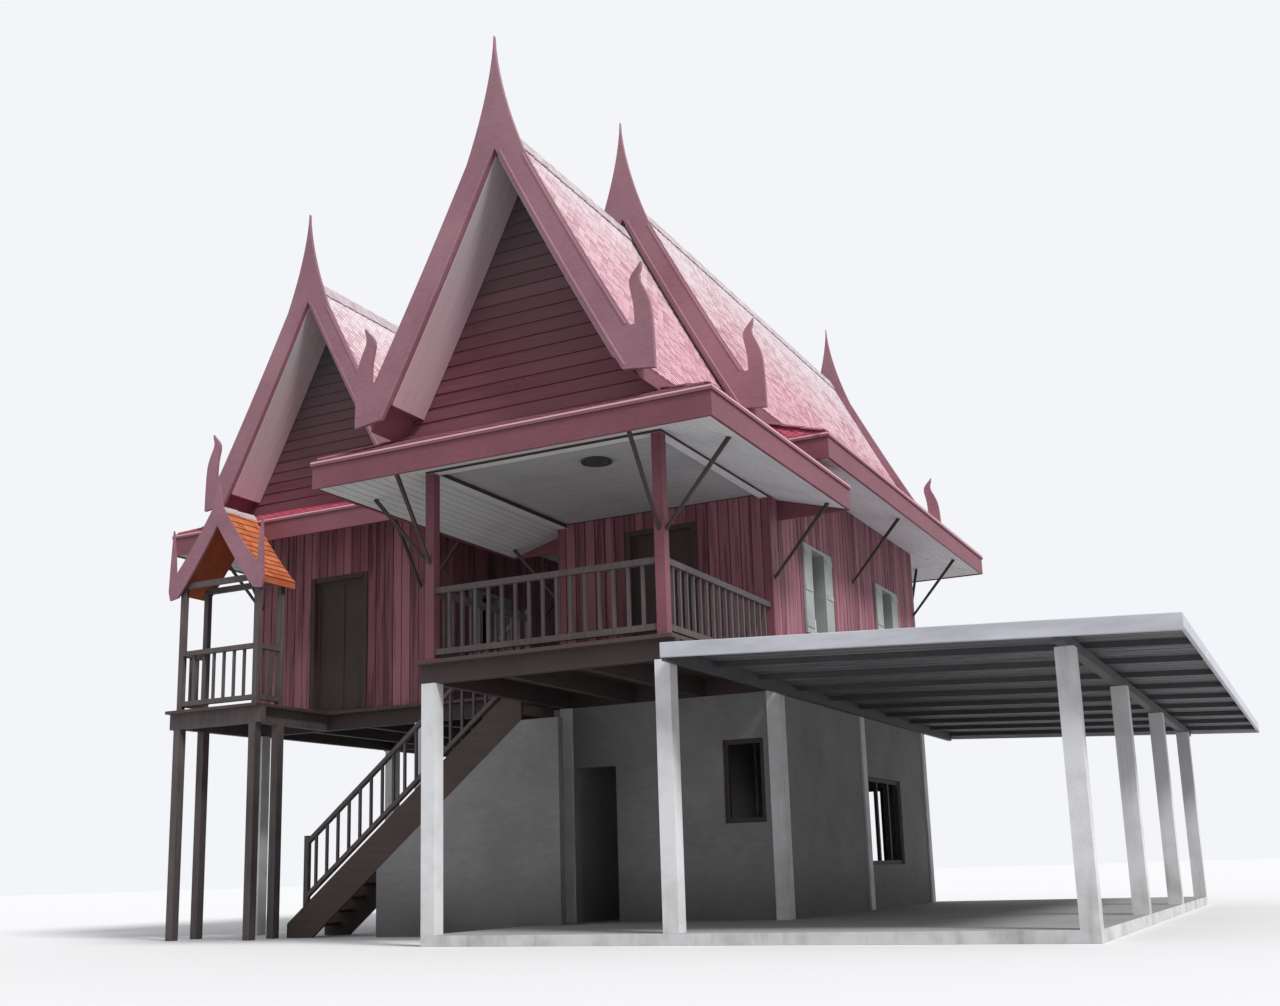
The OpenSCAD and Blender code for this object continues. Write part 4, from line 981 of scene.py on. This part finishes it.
def bead(tier, at, way, hand, shift, start, end, inset):
    """A bead along the slope's curve shifted upright by shift: across it, its height is a
    half wave, bead_t at the middle. inset is how far it lies in from the board's edge."""
    h = np.linspace(start, end, bead_steps)
    z = hollow(h) + shift
    run = np.stack([np.gradient(h), np.gradient(z)], 1)
    run /= np.linalg.norm(run, axis=1, keepdims=True)
    inner = np.stack([run[:, 1], -run[:, 0]], 1)
    if inset < 0:
        inner = -inner
    wave = np.linspace(0, 1, 6)
    spot = (np.stack([h, z], 1)[:, None] + inner[:, None] * (abs(inset) + bead_w * wave)[:, None])
    proud = bead_t * np.sin(math.pi * wave) ** 0.7
    upper = np.stack([tier.axis + hand * spot[..., 0],
                      at + way * (proud + 0 * spot[..., 0]), tier.eave + spot[..., 1]], 2)
    lower = upper.copy()
    lower[..., 1] = at - way * bead_back
    return shell(upper, lower)


for tier in tiers:
    for word, at, way in tier.ends(("front", tier.front - barge_t, -1),
                                   ("rear", tier.rear + barge_t, 1)):
        points, faces = joined([bead(tier, at, way, hand, *run) for hand in (-1, 1)
                                for run in ((barge_up, *upper_span, bead_in),
                                            (-barge_down, *lower_span, -bead_in))])
        piece(f"{tier.name}_{word}_beads", points, faces, chalked, "trim")

# The small roof over the landing has newer orange tiles in level courses on two short steep
# slopes, each tile lapping the one below.
gate_low, gate_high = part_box("gate_roof")
gate_axis = (gate_low[0] + gate_high[0]) / 2
gate_stop, gate_drop = 0.02, 0.09
gate_eave = gate_low[2] + gate_drop
gate_form, gate_cap = (1.13, 0.0, 0.83, 0.05), (0.6, 0.45)
course, course_w, course_lap, course_butt = 0.115, 0.13, 0.02, 0.018
course_gap, course_head, course_least = 0.004, 0.002, 0.02
glaze_dark, glaze_pale = (0.42, 0.10, 0.04), (0.64, 0.22, 0.09)


def coursed(surface, rise, start, end):
    """Points, faces and tones of flat tiles in level courses on surface(up, along, lift),
    with every other course shifted by half a tile."""
    i, j = np.meshgrid(np.arange(round(rise / course)),
                       np.arange(round((end - start) / course_w) + 1), indexing="ij")
    i, j = i.ravel()[:, None], j.ravel()[:, None]
    up = i * course + np.array([0, 0, 1, 1, 0, 0]) * (course + course_lap)
    along = start + (j - 0.5 * (i % 2)) * course_w
    along = along + np.array([0, 1, 1, 0, 0, 1]) * (course_w - course_gap)
    up, along = np.clip(up, 0.0, rise), np.clip(along, start, end)
    lift = np.tile([course_butt, course_butt, course_head, course_head, 0.0, 0.0], (len(up), 1))
    keep = np.ptp(along, axis=1) > course_least
    up, along, lift = up[keep], along[keep], lift[keep]
    first = 6 * np.arange(len(up))[:, None]
    faces = (first + [0, 1, 2, 3]).tolist() + (first + [4, 5, 1, 0]).tolist() + (
        first + [4, 0, 3]).tolist() + (first + [5, 2, 1]).tolist()
    return surface(up, along, lift), faces, np.repeat(rng.random(len(up)), 6).astype(np.float32)


def orange_glaze(w):
    """Orange glazed tiles, each with its own tone, browner where dirt gathers."""
    tone = own_tone(w)
    blotch = noise(w, 5.0, 4.0)
    return coat(mixed(ramp(tone * 0.5 + blotch * 0.5, 0.2, 0.8), glaze_dark, glaze_pale),
                0.4 + blotch * 0.2, relief(noise(w, 60.0), 0.002, 0.5))


orange = finish("orange_tiles", orange_glaze)
dress(orange, "gate_roof")
gate_len = math.hypot(gate_form[0], gate_form[2])
for way, hand in ((1, "right"), (-1, "left")):
    def gate_face(up, along, lift):
        h, z = steep(up / gate_len, lift, *gate_form)
        return np.stack([gate_axis + way * h, along, gate_eave + z], -1)

    points, faces, tone = coursed(gate_face, gate_len - gate_stop, gate_low[1] + hair,
                                  gate_high[1] - hair)
    piece(f"gate_{hand}_tiles", points, [face[::way] for face in faces], orange,
          "orange_tiles", tone)
capped("gate_ridge_caps", [((gate_axis, gate_high[1], gate_eave + gate_form[0]),
                            (gate_axis, gate_low[1], gate_eave + gate_form[0]))],
       ridge_profile * gate_cap, cap_finish, "orange_tiles")

# The car shelter is roofed with pale ribbed steel sheets over dark purlins, dull grey below,
# and closed at its edges with folded flat bands.
rib_step, rib_base, rib_crest, rib_up = 0.20, 0.060, 0.028, 0.034
crease_w, crease_up, sheet_t, sheet_lift = 0.030, 0.005, 0.0012, 0.002
band_t, band_d, edge_d, band_bevel, sheet_deep = 0.04, 0.12, 0.09, 0.006, 0.04
sheet_low, sheet_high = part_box("shelter_roof")
sheet_x = np.array([sheet_low[0], sheet_high[0]])
sheet_z = np.array([sheet_high[2] - sheet_deep, sheet_low[2] + band_d])


def ribbed():
    """Places along Y and heights of the ribbed profile: a crest every rib_step, on sloping
    sides, with one low crease in the middle of each pan."""
    offset = np.array([-rib_base, -rib_crest, rib_crest, rib_base, rib_step - crease_w,
                       rib_step, rib_step + crease_w]) / 2
    rise = np.array([0, rib_up, rib_up, 0, 0, crease_up, 0])
    count = int((sheet_high[1] - sheet_low[1] - 2 * rib_base) / rib_step)
    start = sheet_low[1] + rib_base + rib_step * np.arange(count)[:, None]
    y = np.concatenate([[sheet_low[1] + hair], (start + offset).ravel(), [sheet_high[1] - hair]])
    return y, np.concatenate([[0.0], np.tile(rise, count), [0.0]])


rib_y, rib_z = ribbed()
lower = np.stack([np.stack([x + 0 * rib_y, rib_y, z + rib_z + sheet_lift], 1)
                  for x, z in zip(sheet_x + (hair, -hair), sheet_z)], 1)
points, faces = shell(lower + (0.0, 0.0, sheet_t), lower)
sheet_finish = finish("sheet_top", steel((0.60, 0.605, 0.66), (0.40, 0.40, 0.43), 0.42, 0.1,
                                         2.0, 5.0, (0.6, 9.0, 3.0), 0.35, 0.8))
sheeting = piece("shelter_sheeting", points, faces, sheet_finish, "sheet")
sheeting.data.materials.append(finish(
    "sheet_under", steel((0.21, 0.21, 0.22), (0.095, 0.095, 0.10), 0.5, 0.3,
                         2.0, 5.0, (0.5, 8.0, 3.0), 0.3, 0.75)))
cells = len(rib_y) - 1
skin = np.zeros(len(faces), np.int32)
skin[cells:2 * cells] = 1
sheeting.data.polygons.foreach_set("material_index", skin)


def carried(profile, start, end, across, up):
    """Points and faces of a bar: a closed profile with an even number of points, in the
    directions across and up, carried from start to end and capped."""
    ring = profile[:, :1] * np.array(across) + profile[:, 1:] * np.array(up)
    points = np.concatenate([np.array(start) + ring, np.array(end) + ring])
    n = len(profile)
    k = np.arange(n)
    sides = np.stack([k, (k + 1) % n, (k + 1) % n + n, k + n], 1)
    m = np.arange(n // 2 - 1)
    cap = np.stack([m, m + 1, n - 2 - m, n - 1 - m], 1)
    return points, outward(points, np.concatenate([sides, cap[:, ::-1], cap + n]))


def folded(width, depth):
    """The outline of a folded band with its four edges broken by a small bevel."""
    x, z, c = width / 2, depth, band_bevel
    return np.array([[-x + c, 0], [x - c, 0], [x, -c], [x, c - z], [x - c, -z], [c - x, -z],
                     [-x, c - z], [-x, -c]])


band_z = sheet_z + sheet_deep
bands = [carried(folded(band_t, band_d + sheet_deep - hair), (sheet_x[0], y, band_z[0]),
                 (sheet_x[1], y, band_z[1]), (0, 1, 0), (0, 0, 1))
         for y in (sheet_low[1] + band_t / 2, sheet_high[1] - band_t / 2)]
bands.append(carried(folded(band_t, edge_d + sheet_deep),
                     (sheet_x[1] - band_t / 2, sheet_low[1] + band_t, band_z[1]),
                     (sheet_x[1] - band_t / 2, sheet_high[1] - band_t, band_z[1]),
                     (1, 0, 0), (0, 0, 1)))
piece("shelter_bands", *joined(bands), sheet_finish, "sheet")
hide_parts("shelter_roof")


dress(finish("grey_steel", steel((0.045, 0.045, 0.05), (0.11, 0.11, 0.115), 0.5, 0.2,
                                 4.0, 5.0)), "shelter_beams")

# The studio: a pale floor and backdrop, a soft high sun from the right and an even sky.
stage_size = 300
floor_bounce, floor_seen = (0.47, 0.465, 0.46), (0.78, 0.775, 0.77)
sky_light, sky_seen = (0.86, 0.88, 0.93), (1.45, 1.47, 1.52)
sky_strength = 0.62
sun_energy, sun_spread, sun_turn = 3.0, 0.25, (17, 42, 0)


def seen_by_eye(w):
    """1 for camera and glossy rays, and 0 for the rays that light the building."""
    eye_ray = w.node("ShaderNodeLightPath", None, None, "Is Camera Ray")
    gloss_ray = w.node("ShaderNodeLightPath", None, None, "Is Glossy Ray")
    return w.maths("MAXIMUM", eye_ray, gloss_ray)


floor_mesh = bpy.data.meshes.new("studio_floor")
floor_mesh.from_pydata([(-stage_size, -stage_size, -0.002), (stage_size, -stage_size, -0.002),
                        (stage_size, stage_size, -0.002), (-stage_size, stage_size, -0.002)],
                       [], [(0, 1, 2, 3)])
floor_mesh.materials.append(finish("studio_floor", lambda w: {
    "Base Color": mixed(seen_by_eye(w), floor_bounce, floor_seen), "Roughness": 0.95}))
studio_floor = bpy.data.objects.new("studio_floor", floor_mesh)
bpy.context.scene.collection.objects.link(studio_floor)

sun = bpy.data.lights.new("sun", "SUN")
sun.energy = sun_energy
sun.angle = sun_spread
sun_lamp = bpy.data.objects.new("sun", sun)
sun_lamp.rotation_euler = [math.radians(angle) for angle in sun_turn]
bpy.context.scene.collection.objects.link(sun_lamp)

world = bpy.data.worlds.new("sky")
bpy.context.scene.world = world
world.use_nodes = True
sky = world.node_tree.nodes["Background"]
sky.inputs["Strength"].default_value = sky_strength
world.node_tree.links.new(mixed(seen_by_eye(Wire(world.node_tree)), sky_light, sky_seen).socket,
                          sky.inputs["Color"])
